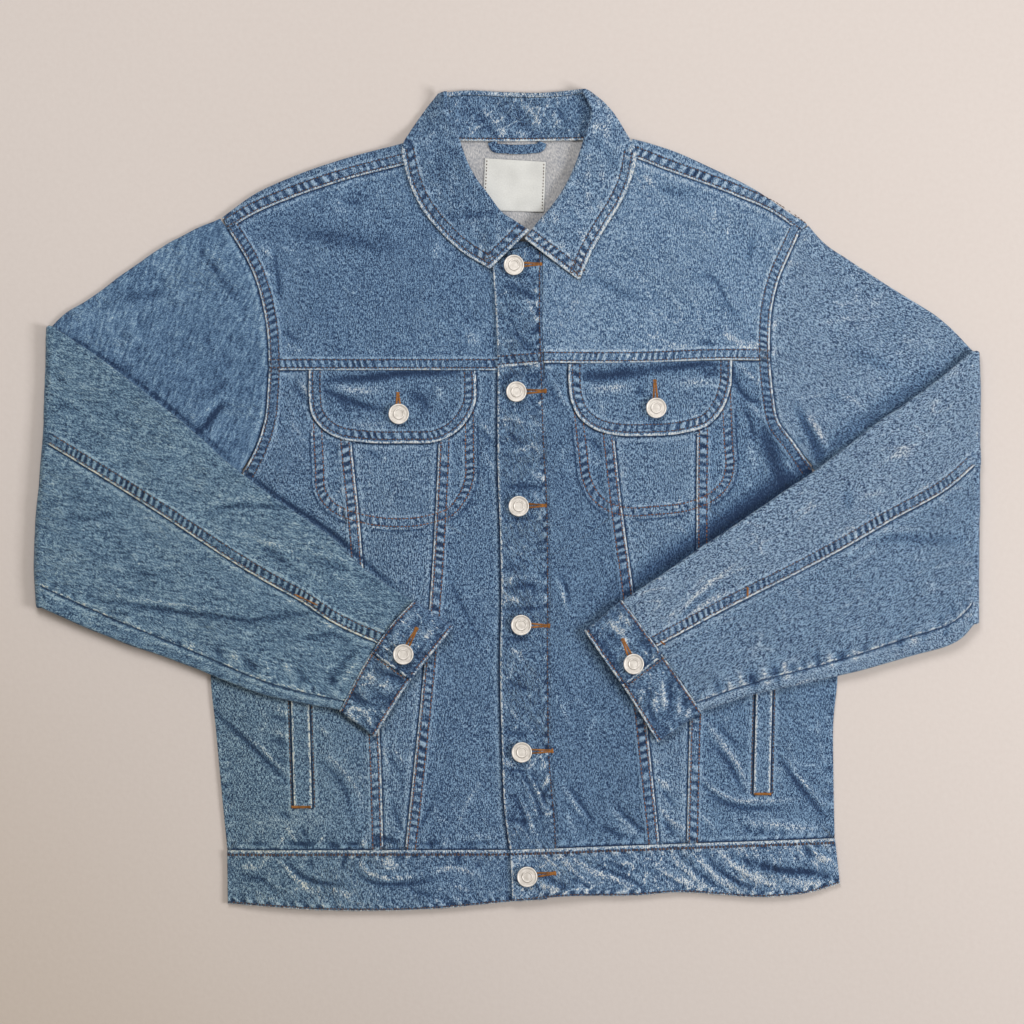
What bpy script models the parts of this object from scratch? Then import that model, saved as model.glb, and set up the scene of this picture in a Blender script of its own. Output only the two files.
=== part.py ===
"""Denim jacket laid flat on its back, buttoned, with both sleeves folded across the front.

Every piece that a maker cuts and sews on is one closed wall of cloth in its own object.
A cloth piece is worked out as the middle surface of its wall, a grid of points spanned
between the piece's seams and edges, and a Solidify modifier gives the wall its thickness.
The frame: +X to the wearer's left, +Y to the collar, +Z up from the surface that the
jacket lies on, with the origin under the middle of the whole outline. Sides are the
wearer's. Sizes and tables are in millimetres.
"""
import bpy
import numpy as np

MM = 0.001

# ---- driving dimensions ------------------------------------------------------------------
CLOTH = 1.2            # wall of one layer of denim
DOUBLE = 1.8           # wall of a piece sewn double: collar, flap, cuff, waistband
FACED = 2.0            # wall of the front band, folded and faced
LABEL = 1.0            # wall of the neck label
BAG = 1.0              # wall of a pocket bag
SEAM_GAP = 0.35        # gap between two pieces at their seam
HIDDEN_GAP = 1.5       # the same at the back's armholes, under the front
REST_GAP = 0.5         # gap between a piece and the one it lies on
LEAF_GAP = 0.9         # the same under the collar's leaves
BAG_GAP = 0.45         # the same over a pocket bag
HOLLOW = 1.7           # back's middle surface up to the front's, at the side seam
FULLNESS = 1.7         # further height of the front, away from the side seam
FALL_TOP = 2.2         # what the collar's fall, folded behind the neck, lifts the back by
SWELL = 0.35           # soft swells of the front
BAND_TOP = 2.5         # top of the front band above the top of the front beside it
LEFT_RISE = 1.6        # what the left front rises by onto the front band
WAIST_RISE = 1.1       # middle of a front waistband above the middle of the front
WAIST_LAP = 2.5        # what the left waistband's end rises by, over the right one's
ELBOW_AXIS = 5.6       # height of the axis that a sleeve is folded about, at the elbow
SLEEVE_ROUND = 1.3     # radius of a flat sleeve's turned edges
SLEEVE_PUFF = 1.4      # further height in the middle of a flat sleeve
FOREARM_REST = 6.0     # underside of the forearm over the upper arm
FOREARM_STEP = 2.0     # further height of the forearm over the body
BUTTON_RADIUS = 8.5
BUTTON_HEIGHT = 4.2
ROLL_RADIUS = 1.9      # radius that the collar rolls over at the back of the neck
LEAF_RADIUS = 1.65     # the same for its leaves, at the front
LEAF_TUCK = 15         # how far a leaf's cloth runs back under it, at most
LOOP_WIDTH = 7.2       # width of the hanger loop's tape

# ---- seams and edges, each a row of points: x, y ---------------------------------------------
SHOULDER_EDGE = {
    "right": [(-237, 234), (-209, 254), (-182, 266.5), (-135, 283), (-87, 295.5)],
    "left": [(249, 229), (235, 237.5), (206, 257), (170, 275), (133, 291), (104, 299)],
}
SHOULDER_SEAM = {
    "right": [(-232, 224), (-212, 236), (-182, 249), (-135, 265), (-84, 278)],
    "left": [(243, 222), (224, 236), (187, 253), (133, 273), (104, 284)],
}
NECK_SEAM = {
    "right": [(-84, 278), (-62, 262), (-40, 240), (-18, 221), (30, 212)],
    "left": [(104, 284), (85, 263), (65, 243), (48, 226), (31, 212)],
}
ARMHOLE_UPPER = {
    "right": [(-232, 224), (-226, 215), (-212.5, 191), (-203.5, 163), (-199, 135), (-198, 107)],
    "left": [(243, 222), (234.5, 203.5), (225.5, 182), (220, 160), (218, 135), (218, 115)],
}
ARMHOLE_LOWER = {
    "right": [(-198, 107), (-199, 89.5), (-201, 68), (-208.5, 43), (-219.5, 21.5)],
    "left": [(218, 115), (220.5, 89.5), (225.5, 64), (238, 47), (253, 25.5)],
}
SIDE_SEAM = {
    "right": [(-219.5, 21.5), (-236, -70), (-246.5, -144), (-242, -193), (-237, -247), (-232.5, -292)],
    "left": [(253, 25.5), (268, -70), (274.5, -148), (271, -184), (271, -229), (272, -282)],
}
OUTER_PANEL_SEAM = {
    "right": [(-132.5, 107), (-129.5, 48), (-123, -17), (-120, -53), (-106, -197), (-103, -291.5)],
    "left": [(158, 114.5), (157.5, 59), (157, -13), (157, -41), (151.5, -181), (149, -286)],
}
INNER_PANEL_SEAM = {
    "right": [(-54.5, 107), (-57, 48), (-60, -17), (-64.5, -87), (-70.5, -154), (-85, -291.5)],
    "left": [(82.5, 112), (88.5, 53), (95.5, -10), (104.5, -76), (115.5, -183), (126.5, -287)],
}
YOKE_SEAM = {                                    # from the armhole to the front edge
    "right": [(-198, 107), (30, 107)],
    "left": [(218, 115), (184, 115.5), (107, 113), (31, 113)],
}
WAIST_SEAM = {
    "right": [(-232.5, -292), (33, -291.5)],
    "left": [(272, -282), (200, -284.5), (100, -288), (42, -290)],
}
BAND_EDGE = [(2, -291), (-2, -261), (-4.5, -203), (-6, -127), (-5, -84), (-6, -31), (-8, 28),
             (-8.5, 132), (-12, 191), (-13, 203)]
BAND_SEAM = [(42, -290), (41.5, -274), (37, -222), (35.5, -146), (35.5, -59), (34.5, 2.5), (32, 48),
             (30.5, 95), (29, 140), (29, 212)]
UNDERLAP_EDGE = [(33, -291.5), (30, -200), (28, -60), (26, 60), (27, 107), (27, 160), (29, 212)]
HEM = {
    "right": [(-232, -335.5), (-147, -341), (-56, -339.5), (1.5, -334), (33, -332)],
    "left": [(276, -319), (250, -326.5), (224, -329.5), (134, -326.5), (110, -328.5), (47, -329.5),
             (4.5, -333.5)],
}

# ---- sleeves: each edge from the armhole outwards, then from the elbow to the cuff ------------
SLEEVE_TOP = {
    "right": [(-239, 233), (-255, 226.5), (-305, 197), (-349, 165), (-369, 152.5), (-383, 144)],
    "left": [(250.5, 227), (263, 213), (283, 199), (326, 171), (360, 148.5), (392, 123)],
}
SLEEVE_UNDER = {
    "right": [(-221.8, 22.6), (-300, -35), (-391, -90.5)],
    "left": [(255.2, 26.4), (320, -35), (392, -104)],
}
ELBOW_EDGE = {
    "right": [(-383, 144), (-384, 100), (-385.5, 57), (-389, 12), (-392, -24), (-392.5, -70), (-391, -90.5)],
    "left": [(392, 123), (392.8, 100), (392.8, 34), (392, -42), (391.5, -104)],
}
FOREARM_UPPER = {
    "right": [(-383, 144), (-321.5, 104), (-272, 65), (-221, 21.5), (-189, -2.5), (-147, -31),
              (-117.5, -59), (-100, -71.5), (-77.5, -84)],
    "left": [(392, 123), (351, 94), (308.5, 64), (264, 30), (202, -12.5), (153, -45.5), (106, -77),
             (95.5, -84)],
}
FOREARM_LOWER = {
    "right": [(-391, -90.5), (-354, -104.5), (-327, -115.5), (-255, -142), (-204, -162), (-139, -175)],
    "left": [(391.5, -104), (378, -113.5), (329, -132), (274.5, -147), (202, -163), (161, -176)],
}
CUFF_SEAM = {
    "right": [(-77.5, -84), (-95.5, -103), (-112, -126), (-139, -175)],
    "left": [(95.5, -84), (115, -110), (131.5, -133), (161, -176)],
}
CUFF_EDGE = {
    "right": [(-45, -106), (-63, -128), (-80.5, -150), (-110, -196.5)],
    "left": [(64.5, -109.5), (80, -132), (96, -155), (125, -201)],
}
# Ends of a cuff's section, each as the share across from its upper edge, and the height over its
# underside: the lap on top from the button to the turned edge, the round of the wrist, and the end
# that the lap covers.
CUFF_LAP = [(0.5, 6), (0.38, 6), (0.26, 6), (0.14, 6), (0.05, 6), (0.014, 5.2), (0, 3.4), (0.014, 1.7)]
CUFF_ROUND = [(0.06, 0.9), (0.25, 0.9), (0.45, 0.9), (0.65, 0.9), (0.85, 0.9), (0.96, 0.9)]
CUFF_UNDERLAP = [(0.99, 1.4), (0.999, 2.3), (0.99, 3.2), (0.95, 3.7), (0.8, 3.7), (0.65, 3.7),
                 (0.52, 3.7), (0.42, 3.7)]
# Share of a front yoke's width where the shoulder seam meets the neck seam.
NECK_POINT = 0.56
# Share of a body panel's side, from the waist, where the armpit lies.
ARMPIT = 0.78
# Share of the armhole, from the shoulder, where the front yoke ends, and the spans of each stretch.
YOKE_END = 0.6
YOKE_ROWS = 7
PANEL_ROWS = 5
# Share of the sleeve's width, from its upper edge, where the two lengthwise seams run.
BACK_ARM_SEAM = 0.42
UNDERARM_SEAM = 0.92

# ---- collar: stations from the back of the neck to the front: roll x, y, edge x, y ------------
COLLAR_LEAF = {
    "right": [(-53.5, 337, -57, 336), (-48, 320, -69, 321), (-42, 306, -80, 305),
              (-35, 284, -87, 290), (-27, 268, -82.5, 268), (-16, 253, -73, 245),
              (-4.5, 238, -58, 225), (6, 231, -38, 206), (18, 223, -14.5, 191.5)],
    "left": [(65.5, 339.5, 68, 338.5), (69, 322, 83, 326), (65, 305, 98, 304),
             (60, 288, 106.5, 287), (53, 270, 101, 262), (45, 255, 92, 243),
             (35, 241, 82, 227), (24.5, 229, 70, 206), (14.5, 216, 59.5, 182)],
}
FALL_SIDE = {
    "right": [(-84, 285), (-85, 292), (-74, 311), (-51, 334)],
    "left": [(103, 285), (104, 292), (94, 309), (62.5, 337)],
}
COLLAR_ROLL = [(-51, 334), (-36, 335.5), (0, 334.2), (30, 333.8), (50, 335.5), (62.5, 337)]
COLLAR_BAND_FOOT = [(-47, 297.5), (8, 297), (70, 298)]
LOOP_LINE = [(-12.5, 296.5), (-11, 292.5), (-2, 290.8), (8, 290.3), (19, 290.8), (27.5, 292.5), (29, 296)]
LABEL_CORNERS = [(-20.5, 240), (30.5, 238.5), (-18.5, 283), (32, 280)]

# ---- flaps, pocket bags, welts ----------------------------------------------------------------
FLAP = {                                           # outline below the yoke seam
    "right": [(-164.5, 106.5), (-164.5, 87), (-162, 70), (-153, 58), (-139.5, 50.5), (-122, 47.5),
              (-85, 46.5), (-58, 48), (-43.5, 55), (-33.5, 65.5), (-27, 79), (-26, 95), (-26.5, 106.5)],
    "left": [(186.5, 115), (185.5, 94.5), (179, 75.5), (167.5, 62), (146, 55), (115, 52.5), (92, 53),
             (73.5, 57.5), (59.5, 68), (53, 82), (51, 98), (51, 112)],
}
POCKET_BAG = {
    "right": [(-163, 104), (-163, 65.5), (-161.5, 28), (-159, 3), (-150.5, -9), (-135.5, -17.5),
              (-122, -21.5), (-61, -21.5), (-46.5, -16.5), (-32, 0), (-27, 13), (-26, 43), (-27, 104)],
    "left": [(186.5, 110), (189, 48), (190, 25), (185.5, 10), (173, -2.5), (153, -11), (122.5, -15),
             (99.5, -16), (86, -13), (70, -2.5), (61, 14), (57, 40.5), (53, 80), (52, 110)],
}
WELT = {                                           # outer and inner long edges, x at the foot and head
    "right": {"foot": (-177, -162), "head": (-181, -166), "low": -256.5, "high": -122},
    "left": {"foot": (204.5, 218), "head": (207.5, 221), "low": -245.5, "high": -114},
}

# ---- buttons: x, y ------------------------------------------------------------------------------
BAND_BUTTONS = [(5.5, 194), (7.5, 89), (9.5, -6), (11.5, -104.5), (12, -210)]
WAIST_BUTTON = (16.5, -313)
FLAP_BUTTON = {"right": (-90, 70.5), "left": (123.5, 75.5)}
CUFF_BUTTON = {"right": (-86, -128.5), "left": (104.5, -136.5)}


# ---- curves and grids ---------------------------------------------------------------------------
def step(share):
    """Soft step: 0 below 0, 1 above 1, with no kink at either end."""
    share = np.clip(share, 0.0, 1.0)
    return share * share * (3.0 - 2.0 * share)


def path(points, share):
    """Smooth curve through the points, read at shares of its length.

    Each span is a cubic whose end slopes are the mean slopes of the spans that meet there.
    """
    points = np.array(points, float)
    share = np.asarray(share, float)
    along = np.concatenate([[0.0], np.cumsum(np.linalg.norm(np.diff(points, axis=0), axis=1))])
    slope = np.gradient(points, along, axis=0)
    at = share.ravel() * along[-1]
    i = np.clip(np.searchsorted(along, at, side="right") - 1, 0, len(points) - 2)
    span = (along[i + 1] - along[i])[:, None]
    t = (at - along[i])[:, None] / span
    found = ((1 + 2 * t) * (1 - t) ** 2 * points[i] + t * (1 - t) ** 2 * span * slope[i]
             + t * t * (3 - 2 * t) * points[i + 1] + t * t * (t - 1) * span * slope[i + 1])
    return found.reshape(share.shape + (points.shape[1],))


def cornered(first, second, turn):
    """Edge of two smooth curves that meet at a corner, at the given share of the whole."""
    def edge(share):
        before = path(first, np.clip(share / turn, 0, 1))
        after = path(second, np.clip((share - turn) / (1 - turn), 0, 1))
        return np.where((share < turn)[..., None], before, after)
    return edge


def read(edge, share):
    return edge(share) if callable(edge) else path(edge, share)


def spanned(foot, head, near, far, u, v):
    """Point of a sheet spanned between four edges: foot and head run with u, near and far with v.

    It is the sum of the two ruled sheets between opposite edges, less the flat sheet
    between the four corners.
    """
    a, b = read(foot, u), read(head, u)
    c, d = read(near, v), read(far, v)
    low_near, low_far = read(foot, np.array([0.0, 1.0]))
    high_near, high_far = read(head, np.array([0.0, 1.0]))
    u, v = u[..., None], v[..., None]
    corners = (1 - v) * ((1 - u) * low_near + u * low_far)
    corners = corners + v * ((1 - u) * high_near + u * high_far)
    return (1 - v) * a + v * b + (1 - u) * c + u * d - corners


def stretches(corner, first, second):
    """Shares from 0 to 1 in two even stretches of so many spans, which meet at the corner."""
    return np.concatenate([np.linspace(0, corner, first + 1), np.linspace(corner, 1, second + 1)[1:]])


def grid(cols, rows):
    """Shares across and up a sheet: a count of even spans, or the shares themselves."""
    u = np.linspace(0, 1, cols + 1) if isinstance(cols, int) else cols
    v = np.linspace(0, 1, rows + 1) if isinstance(rows, int) else rows
    return np.meshgrid(u, v)


def drawn_in(plan, near=True, far=True, foot=True, head=True, by=SEAM_GAP / 2):
    """The plan with its named borders moved inwards by half a seam's gap."""
    plan = plan.copy()
    for wanted, edge, inner in ((foot, np.s_[0], np.s_[1]), (head, np.s_[-1], np.s_[-2]),
                                (near, np.s_[:, 0], np.s_[:, 1]), (far, np.s_[:, -1], np.s_[:, -2])):
        if wanted:
            way = plan[inner] - plan[edge]
            plan[edge] += by * way / np.linalg.norm(way, axis=-1, keepdims=True)
    return plan


def raised(plan, height):
    """A plan of x, y lifted to the given height."""
    height = np.broadcast_to(height, plan.shape[:-1])
    return np.concatenate([plan, height[..., None]], axis=-1)


# ---- heights of the layers, each the middle surface of its wall --------------------------------
def fall_lift(x, y):
    """What the fall of the collar, folded under the neck, lifts the cloth above it by."""
    across = step((x + 112) / 22) * step((130 - x) / 22)
    return FALL_TOP * step((y - 264) / 16) * across


def back_middle(x, y):
    """The back, flat on the surface and lifted only at the neck."""
    return CLOTH / 2 + fall_lift(x, y)


def side_distance(x, y):
    """Distance from the nearer side seam, growing fast above the armpit."""
    right = np.interp(y, [-341, -292, -247, -193, -144, -70, 21, 60],
                      [-232, -232, -237, -242, -246, -236, -220, -330])
    left = np.interp(y, [-341, -282, -229, -184, -148, -70, 25, 60],
                     [276, 272, 271, 271, 274, 268, 253, 360])
    return np.minimum(x - right, left - x)


def front_middle(x, y):
    """The front, close to the back at the side seams and fuller inside, with soft swells."""
    full = step(side_distance(x, y) / 36)
    swell = SWELL * (1 + np.sin(x / 37 + 0.6) * np.sin(y / 53 + 1.1)) * full
    return CLOTH / 2 + fall_lift(x, y) + HOLLOW + FULLNESS * full + swell


def left_front_middle(x, y):
    """The left front, which comes down from the front band onto the level of the right one."""
    return front_middle(x, y) + LEFT_RISE * (1 - step((x - 36) / 34))


def band_middle(x, y):
    """The front band, on the buttoned fronts."""
    return front_middle(x, y) + CLOTH / 2 + REST_GAP + FACED / 2


def waist_middle(x, y):
    """A front waistband."""
    return front_middle(x, y) + WAIST_RISE


def waist_over(x, y):
    """The left waistband, whose end lies on the right one's."""
    return waist_middle(x, y) + WAIST_LAP * (1 - step((x - 44) / 34))


def bag_middle(x, y):
    """A pocket bag, under the front."""
    return front_middle(x, y) - CLOTH / 2 - BAG_GAP - BAG / 2


def label_middle(x, y):
    """The neck label, on the back."""
    return back_middle(x, y) + CLOTH / 2 + REST_GAP + LABEL / 2


def welt_middle(x, y):
    """A welt, on the front."""
    return front_middle(x, y) + CLOTH + REST_GAP


def level_at(height):
    """A height function that is the same all over."""
    def level(x, y):
        return np.full(np.shape(x), float(height))
    return level


def front_crest(x, y):
    """Top of the buttoned fronts, with the front band, under the collar's leaves."""
    band = BAND_TOP * step((x + 26) / 12) * step((80 - x) / 42) * step((245 - y) / 25)
    return front_middle(x, y) + CLOTH / 2 + band


def forearm_rest(x):
    """Underside of the forearm: over the upper arm outside the body, and higher over the body."""
    return FOREARM_REST + FOREARM_STEP * step((262 - np.abs(x)) / 50)


# ---- solids -------------------------------------------------------------------------------------
def material(name, colour, roughness, metallic=0.0):
    made = bpy.data.materials.new(name)
    made.use_nodes = True
    shader = made.node_tree.nodes["Principled BSDF"]
    shader.inputs["Base Color"].default_value = (*colour, 1.0)
    shader.inputs["Roughness"].default_value = roughness
    shader.inputs["Metallic"].default_value = metallic
    return made


def mesh_object(name, points, faces, finish):
    mesh = bpy.data.meshes.new(name)
    mesh.from_pydata((points * MM).tolist(), [], faces)
    mesh.materials.append(finish)
    mesh.shade_smooth()
    mesh.set_sharp_from_angle(angle=np.radians(40))
    made = bpy.data.objects.new(name, mesh)
    bpy.context.scene.collection.objects.link(made)
    return made


def cloth(name, points, finish, wall=CLOTH, keep=None):
    """One wall of cloth on a grid of middle points: the kept squares, thickened to both sides."""
    rows, cols = points.shape[:2]
    number = np.arange(rows * cols).reshape(rows, cols)
    corners = np.stack([number[:-1, :-1], number[:-1, 1:], number[1:, 1:], number[1:, :-1]], axis=-1)
    squares = corners[keep] if keep is not None else corners.reshape(-1, 4)
    used, squares = np.unique(squares, return_inverse=True)
    made = mesh_object(name, points.reshape(-1, 3)[used], squares.reshape(-1, 4).tolist(), finish)
    thicken = made.modifiers.new("wall", "SOLIDIFY")
    thicken.thickness = wall * MM
    thicken.offset = 0.0
    thicken.use_even_offset = True
    return made


def panel(name, edges, cols, rows, middle, finish, wall=CLOTH, **borders):
    """A flat-laid panel between four edges, foot, head, near and far, on a height function."""
    plan = drawn_in(spanned(*edges, *grid(cols, rows)), **borders)
    return cloth(name, raised(plan, middle(plan[..., 0], plan[..., 1])), finish, wall)


def button(name, x, y, seat, finish):
    """A turned button: a short shank under a domed head with a sunk ring on its face."""
    r, h = BUTTON_RADIUS, BUTTON_HEIGHT
    profile = np.array([(0.42 * r, 0.0), (0.42 * r, 0.3 * h), (0.9 * r, 0.34 * h), (r, 0.56 * h),
                        (0.86 * r, h), (0.56 * r, 0.88 * h), (0.3 * r, 0.96 * h)])
    sides = 16
    turn = 2 * np.pi * np.arange(sides) / sides
    rings = np.stack([x + profile[:, :1] * np.cos(turn), y + profile[:, :1] * np.sin(turn),
                      seat + profile[:, 1:] + 0 * turn], axis=-1)
    number = np.arange(len(profile) * sides).reshape(len(profile), sides)
    across = np.roll(number, -1, axis=1)
    sidewall = np.stack([number[:-1], across[:-1], across[1:], number[1:]], axis=-1).reshape(-1, 4)
    faces = sidewall.tolist() + [number[0, ::-1].tolist(), number[-1].tolist()]
    return mesh_object(name, rings.reshape(-1, 3), faces, finish)


# ---- body ---------------------------------------------------------------------------------------
def back_pieces(denim):
    """Back panel, back waistband, and the back yoke that turns over the shoulders to the front."""
    seam = [(-197.8, 118), (-80, 116), (60, 116), (217.6, 122)]
    sides = [cornered(SIDE_SEAM[s][::-1], ARMHOLE_LOWER[s][1:][::-1] + [corner], ARMPIT)
             for s, corner in (("right", seam[0]), ("left", seam[-1]))]
    waist = [(-232.5, -292), (0, -291), (272, -282)]
    panel("back_panel", (waist, seam, *sides), 8, stretches(ARMPIT, 6, 5), back_middle, denim,
          by=HIDDEN_GAP / 2)

    hem = [(-231, -334), (-147, -339.5), (-50, -337), (50, -328.5), (134, -325), (224, -328), (275, -318)]
    ends = ([(-231, -334), (-232.5, -292)], [(275, -318), (272, -282)])
    panel("waistband_back", (hem, waist, *ends), 12, 1, level_at(DOUBLE / 2), denim, DOUBLE)

    strip_cols = 8
    shares = np.linspace(0, 1, strip_cols)
    radius = (HOLLOW + FULLNESS) / 2
    inset = radius + CLOTH / 2
    columns = []
    for side, order in (("right", 1), ("left", -1)):
        edge = path(SHOULDER_EDGE[side], shares)
        run = np.gradient(edge, axis=0)
        outward = np.stack([-run[:, 1], run[:, 0]], axis=1) * order
        outward /= np.linalg.norm(outward, axis=1, keepdims=True)
        columns.append((edge - inset * outward, outward, path(SHOULDER_SEAM[side], shares)))
    neck = np.stack([np.linspace(-62, 79, 6), np.full(6, 299.3)], axis=1)
    top = np.concatenate([columns[0][0], neck, columns[1][0][::-1]])
    foot = path(seam, np.linspace(0, 1, len(top)))
    shares = np.array([0, 0.25, 0.5, 0.72, 0.81, 0.9, 1.0])
    sides = [path([end] + ARMHOLE_UPPER[s][::-1][1:-1] + [corner], shares)
             for s, end, corner in (("right", seam[0], top[0]), ("left", seam[-1], top[-1]))]
    across = np.linspace(0, 1, len(top))[None, :, None]
    rise = shares[:, None, None]
    floor = (1 - rise) * foot + rise * top
    floor = floor + (1 - across) * (sides[0][:, None] - floor[:, :1])
    floor = floor + across * (sides[1][:, None] - floor[:, -1:])
    floor = drawn_in(floor, head=False, by=HIDDEN_GAP / 2)
    base = back_middle(floor[..., 0], floor[..., 1])
    rows = [raised(floor, base)]

    outward = np.zeros((len(top), 2))
    strip = top.copy()
    strip[:strip_cols], strip[-strip_cols:] = columns[0][2], columns[1][2][::-1]
    outward[:strip_cols], outward[-strip_cols:] = columns[0][1], columns[1][1][::-1]
    edge = floor[-1]
    for angle in np.radians([36, 72, 108, 144, 180]):
        plan = edge + radius * np.sin(angle) * outward
        rows.append(raised(plan, base[-1] + radius * (1 - np.cos(angle)))[None])
    shortfall = (strip - edge) / np.maximum(np.linalg.norm(strip - edge, axis=1, keepdims=True), 1e-6)
    for share in (0.5, 1.0):
        plan = edge + share * (strip - edge - SEAM_GAP / 2 * shortfall)
        rows.append(raised(plan, front_middle(plan[:, 0], plan[:, 1]))[None])
    points = np.concatenate(rows)
    keep = np.ones((len(points) - 1, len(top) - 1), bool)
    keep[len(floor) - 1:, strip_cols - 1:1 - strip_cols] = False
    cloth("back_yoke", points, denim, keep=keep)


def front_pieces(denim):
    """Yokes, the three lower panels of each front, the front band and the waistbands."""
    levels = {"right": front_middle, "left": left_front_middle}
    edge_up = {"right": UNDERLAP_EDGE, "left": BAND_SEAM}
    for side in ("right", "left"):
        middle = levels[side]
        yoke_head = cornered(SHOULDER_SEAM[side], NECK_SEAM[side], NECK_POINT)
        front_edge = {"right": [(30, 107), (29.5, 160), (30, 212)],
                      "left": [(31, 113), (29.8, 140), (31, 212)]}[side]
        panel(f"yoke_front_{side}",
              (YOKE_SEAM[side], yoke_head, ARMHOLE_UPPER[side][::-1], front_edge),
              stretches(NECK_POINT, 7, 5), YOKE_ROWS, middle, denim)
        corner = YOKE_SEAM[side][-1]
        seams = [cornered(SIDE_SEAM[side][::-1], ARMHOLE_LOWER[side][::-1], ARMPIT),
                 OUTER_PANEL_SEAM[side][::-1], INNER_PANEL_SEAM[side][::-1],
                 [point for point in edge_up[side] if point[1] < corner[1]] + [corner]]
        ends = [read(seam, np.array([0.0, 1.0])) for seam in seams]
        for name, outer, inner, cols in (("side", 0, 1, 5), ("middle", 1, 2, 4), ("centre", 2, 3, 4)):
            foot, head = [[ends[outer][end], ends[inner][end]] for end in (0, 1)]
            panel(f"front_{name}_{side}", (foot, head, seams[outer], seams[inner]), cols,
                  stretches(ARMPIT, 8, PANEL_ROWS), middle, denim)

    panel("front_band", ([BAND_EDGE[0], BAND_SEAM[0]], [BAND_EDGE[-1], BAND_SEAM[-1]],
                         BAND_EDGE, BAND_SEAM), 3, 18, band_middle, denim, FACED, by=SEAM_GAP)

    heads = {"right": WAIST_SEAM["right"][:1] + [UNDERLAP_EDGE[0]],
             "left": WAIST_SEAM["left"] + [(2.5, -291.3)]}
    for side, level in (("right", waist_middle), ("left", waist_over)):
        hem, head = HEM[side], heads[side]
        panel(f"waistband_{side}", (hem, head, [hem[0], head[0]], [hem[-1], head[-1]]), 12, 2, level,
              denim, DOUBLE)


def rim_edges(rim):
    """Foot, head and sides of an outline that runs from its one top corner to the other."""
    return rim[1:-1], [rim[0], rim[-1]], [rim[1], rim[0]], [rim[-2], rim[-1]]


def pocket_pieces(denim):
    """Chest pocket bags inside the fronts, the flaps over them, and the welts of the hand pockets."""
    def flap_middle(over):
        return lambda x, y: over(x, y) + CLOTH / 2 + REST_GAP + DOUBLE / 2

    for side, over in (("right", front_middle), ("left", left_front_middle)):
        panel(f"pocket_bag_{side}", rim_edges(POCKET_BAG[side]), 12, 3, bag_middle, denim, BAG)
        panel(f"flap_{side}", rim_edges(FLAP[side]), 14, 3, flap_middle(over), denim, DOUBLE)
        welt = WELT[side]
        foot = [(x, welt["low"]) for x in welt["foot"]]
        head = [(x, welt["high"]) for x in welt["head"]]
        panel(f"welt_{side}", (foot, head, [foot[0], head[0]], [foot[1], head[1]]), 1, 6,
              welt_middle, denim)


# ---- sleeves --------------------------------------------------------------------------------------
def edge_normals(plan, sign):
    """Unit normals, in plan, of the edge that a row of points makes."""
    run = np.gradient(plan, axis=0)
    normal = np.stack([-run[:, 1], run[:, 0]], axis=1) * sign
    return normal / np.linalg.norm(normal, axis=1, keepdims=True)


def sleeve_points(side, around, stations=(5, 5, 9)):
    """Middle points of a flattened sleeve, folded over at the elbow, with the forearm on top.

    around has a row for each point of the section: the share across from the upper edge, and
    the turn, 0 on the cloth that faces the surface at the upper arm and 180 degrees on the
    cloth that faces up there, with the turned edges between. The folded part of the section
    keeps its distance from the elbow's axis while it turns half round it.
    """
    share = np.array([row[0] for row in around])
    turn = np.radians([row[1] for row in around])
    mirror = 1 if side == "right" else -1
    inward = np.array([mirror * ELBOW_AXIS, 0.0])
    fold = [tuple(np.array(p) + inward) for p in ELBOW_EDGE[side]]
    armhole = cornered([SLEEVE_TOP[side][0]] + ARMHOLE_UPPER[side][1:],
                       ARMHOLE_LOWER[side][:-1] + [SLEEVE_UNDER[side][0]], YOKE_END)
    upper = (SLEEVE_TOP[side][:-1] + [fold[0]], SLEEVE_UNDER[side][:-1] + [fold[-1]], armhole, fold)
    fore = ([fold[0]] + FOREARM_UPPER[side][1:], [fold[-1]] + FOREARM_LOWER[side][1:], fold,
            CUFF_SEAM[side])
    arm, bend, hand = stations
    bulge = (1 - np.cos(turn)) / 2                   # 0 on the lower cloth, 1 on the upper one
    puff = SLEEVE_PUFF * 4 * share * (1 - share)
    edge = SLEEVE_ROUND + CLOTH / 2
    lying = CLOTH / 2 + (2 * SLEEVE_ROUND + puff) * bulge
    turned = CLOTH / 2 + (2 * SLEEVE_ROUND + puff) * (1 - bulge)

    def section(edges, along):
        """Plan of the sections at shares along one stretch, with their turned edges."""
        ends = [spanned(*edges, along, np.full_like(along, end)) for end in (0.0, 1.0)]
        width = np.linalg.norm(ends[1] - ends[0], axis=1)[:, None]
        across = np.clip(share, edge / width, 1 - edge / width)
        plan = spanned(*edges, np.broadcast_to(along[:, None], across.shape), across)
        out = [edge_normals(ends[0], -mirror), edge_normals(ends[1], mirror)]
        if edges is fore:
            out = [-out[0], -out[1]]
        reach = SLEEVE_ROUND * np.sin(turn)[None, :, None]
        low_side = (share < 0.5)[None, :, None]
        return plan, reach * np.where(low_side, out[0][:, None], out[1][:, None])

    first, first_out = section(upper, np.linspace(0, 1, arm + 1))
    last, last_out = section(fore, np.linspace(0, 1, hand + 1) ** 1.15)
    rows = [raised(first + first_out, lying)]
    for angle in np.linspace(0, np.pi, bend + 1)[1:-1]:
        away = (ELBOW_AXIS - lying) * np.sin(angle)
        part = angle / np.pi
        plan = first[-1] + (1 - part) * first_out[-1] + part * last_out[0]
        plan = plan - mirror * np.stack([away, 0 * away], axis=1)
        rows.append(raised(plan, ELBOW_AXIS - (ELBOW_AXIS - lying) * np.cos(angle))[None])
    plan = last + last_out
    past = np.linalg.norm(last - last[:1], axis=-1) / 60
    height = (1 - step(past)) * (2 * ELBOW_AXIS - lying)
    height = height + step(past) * (forearm_rest(plan[..., 0]) + turned)
    rows.append(raised(plan, height))
    return np.concatenate(rows)


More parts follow.
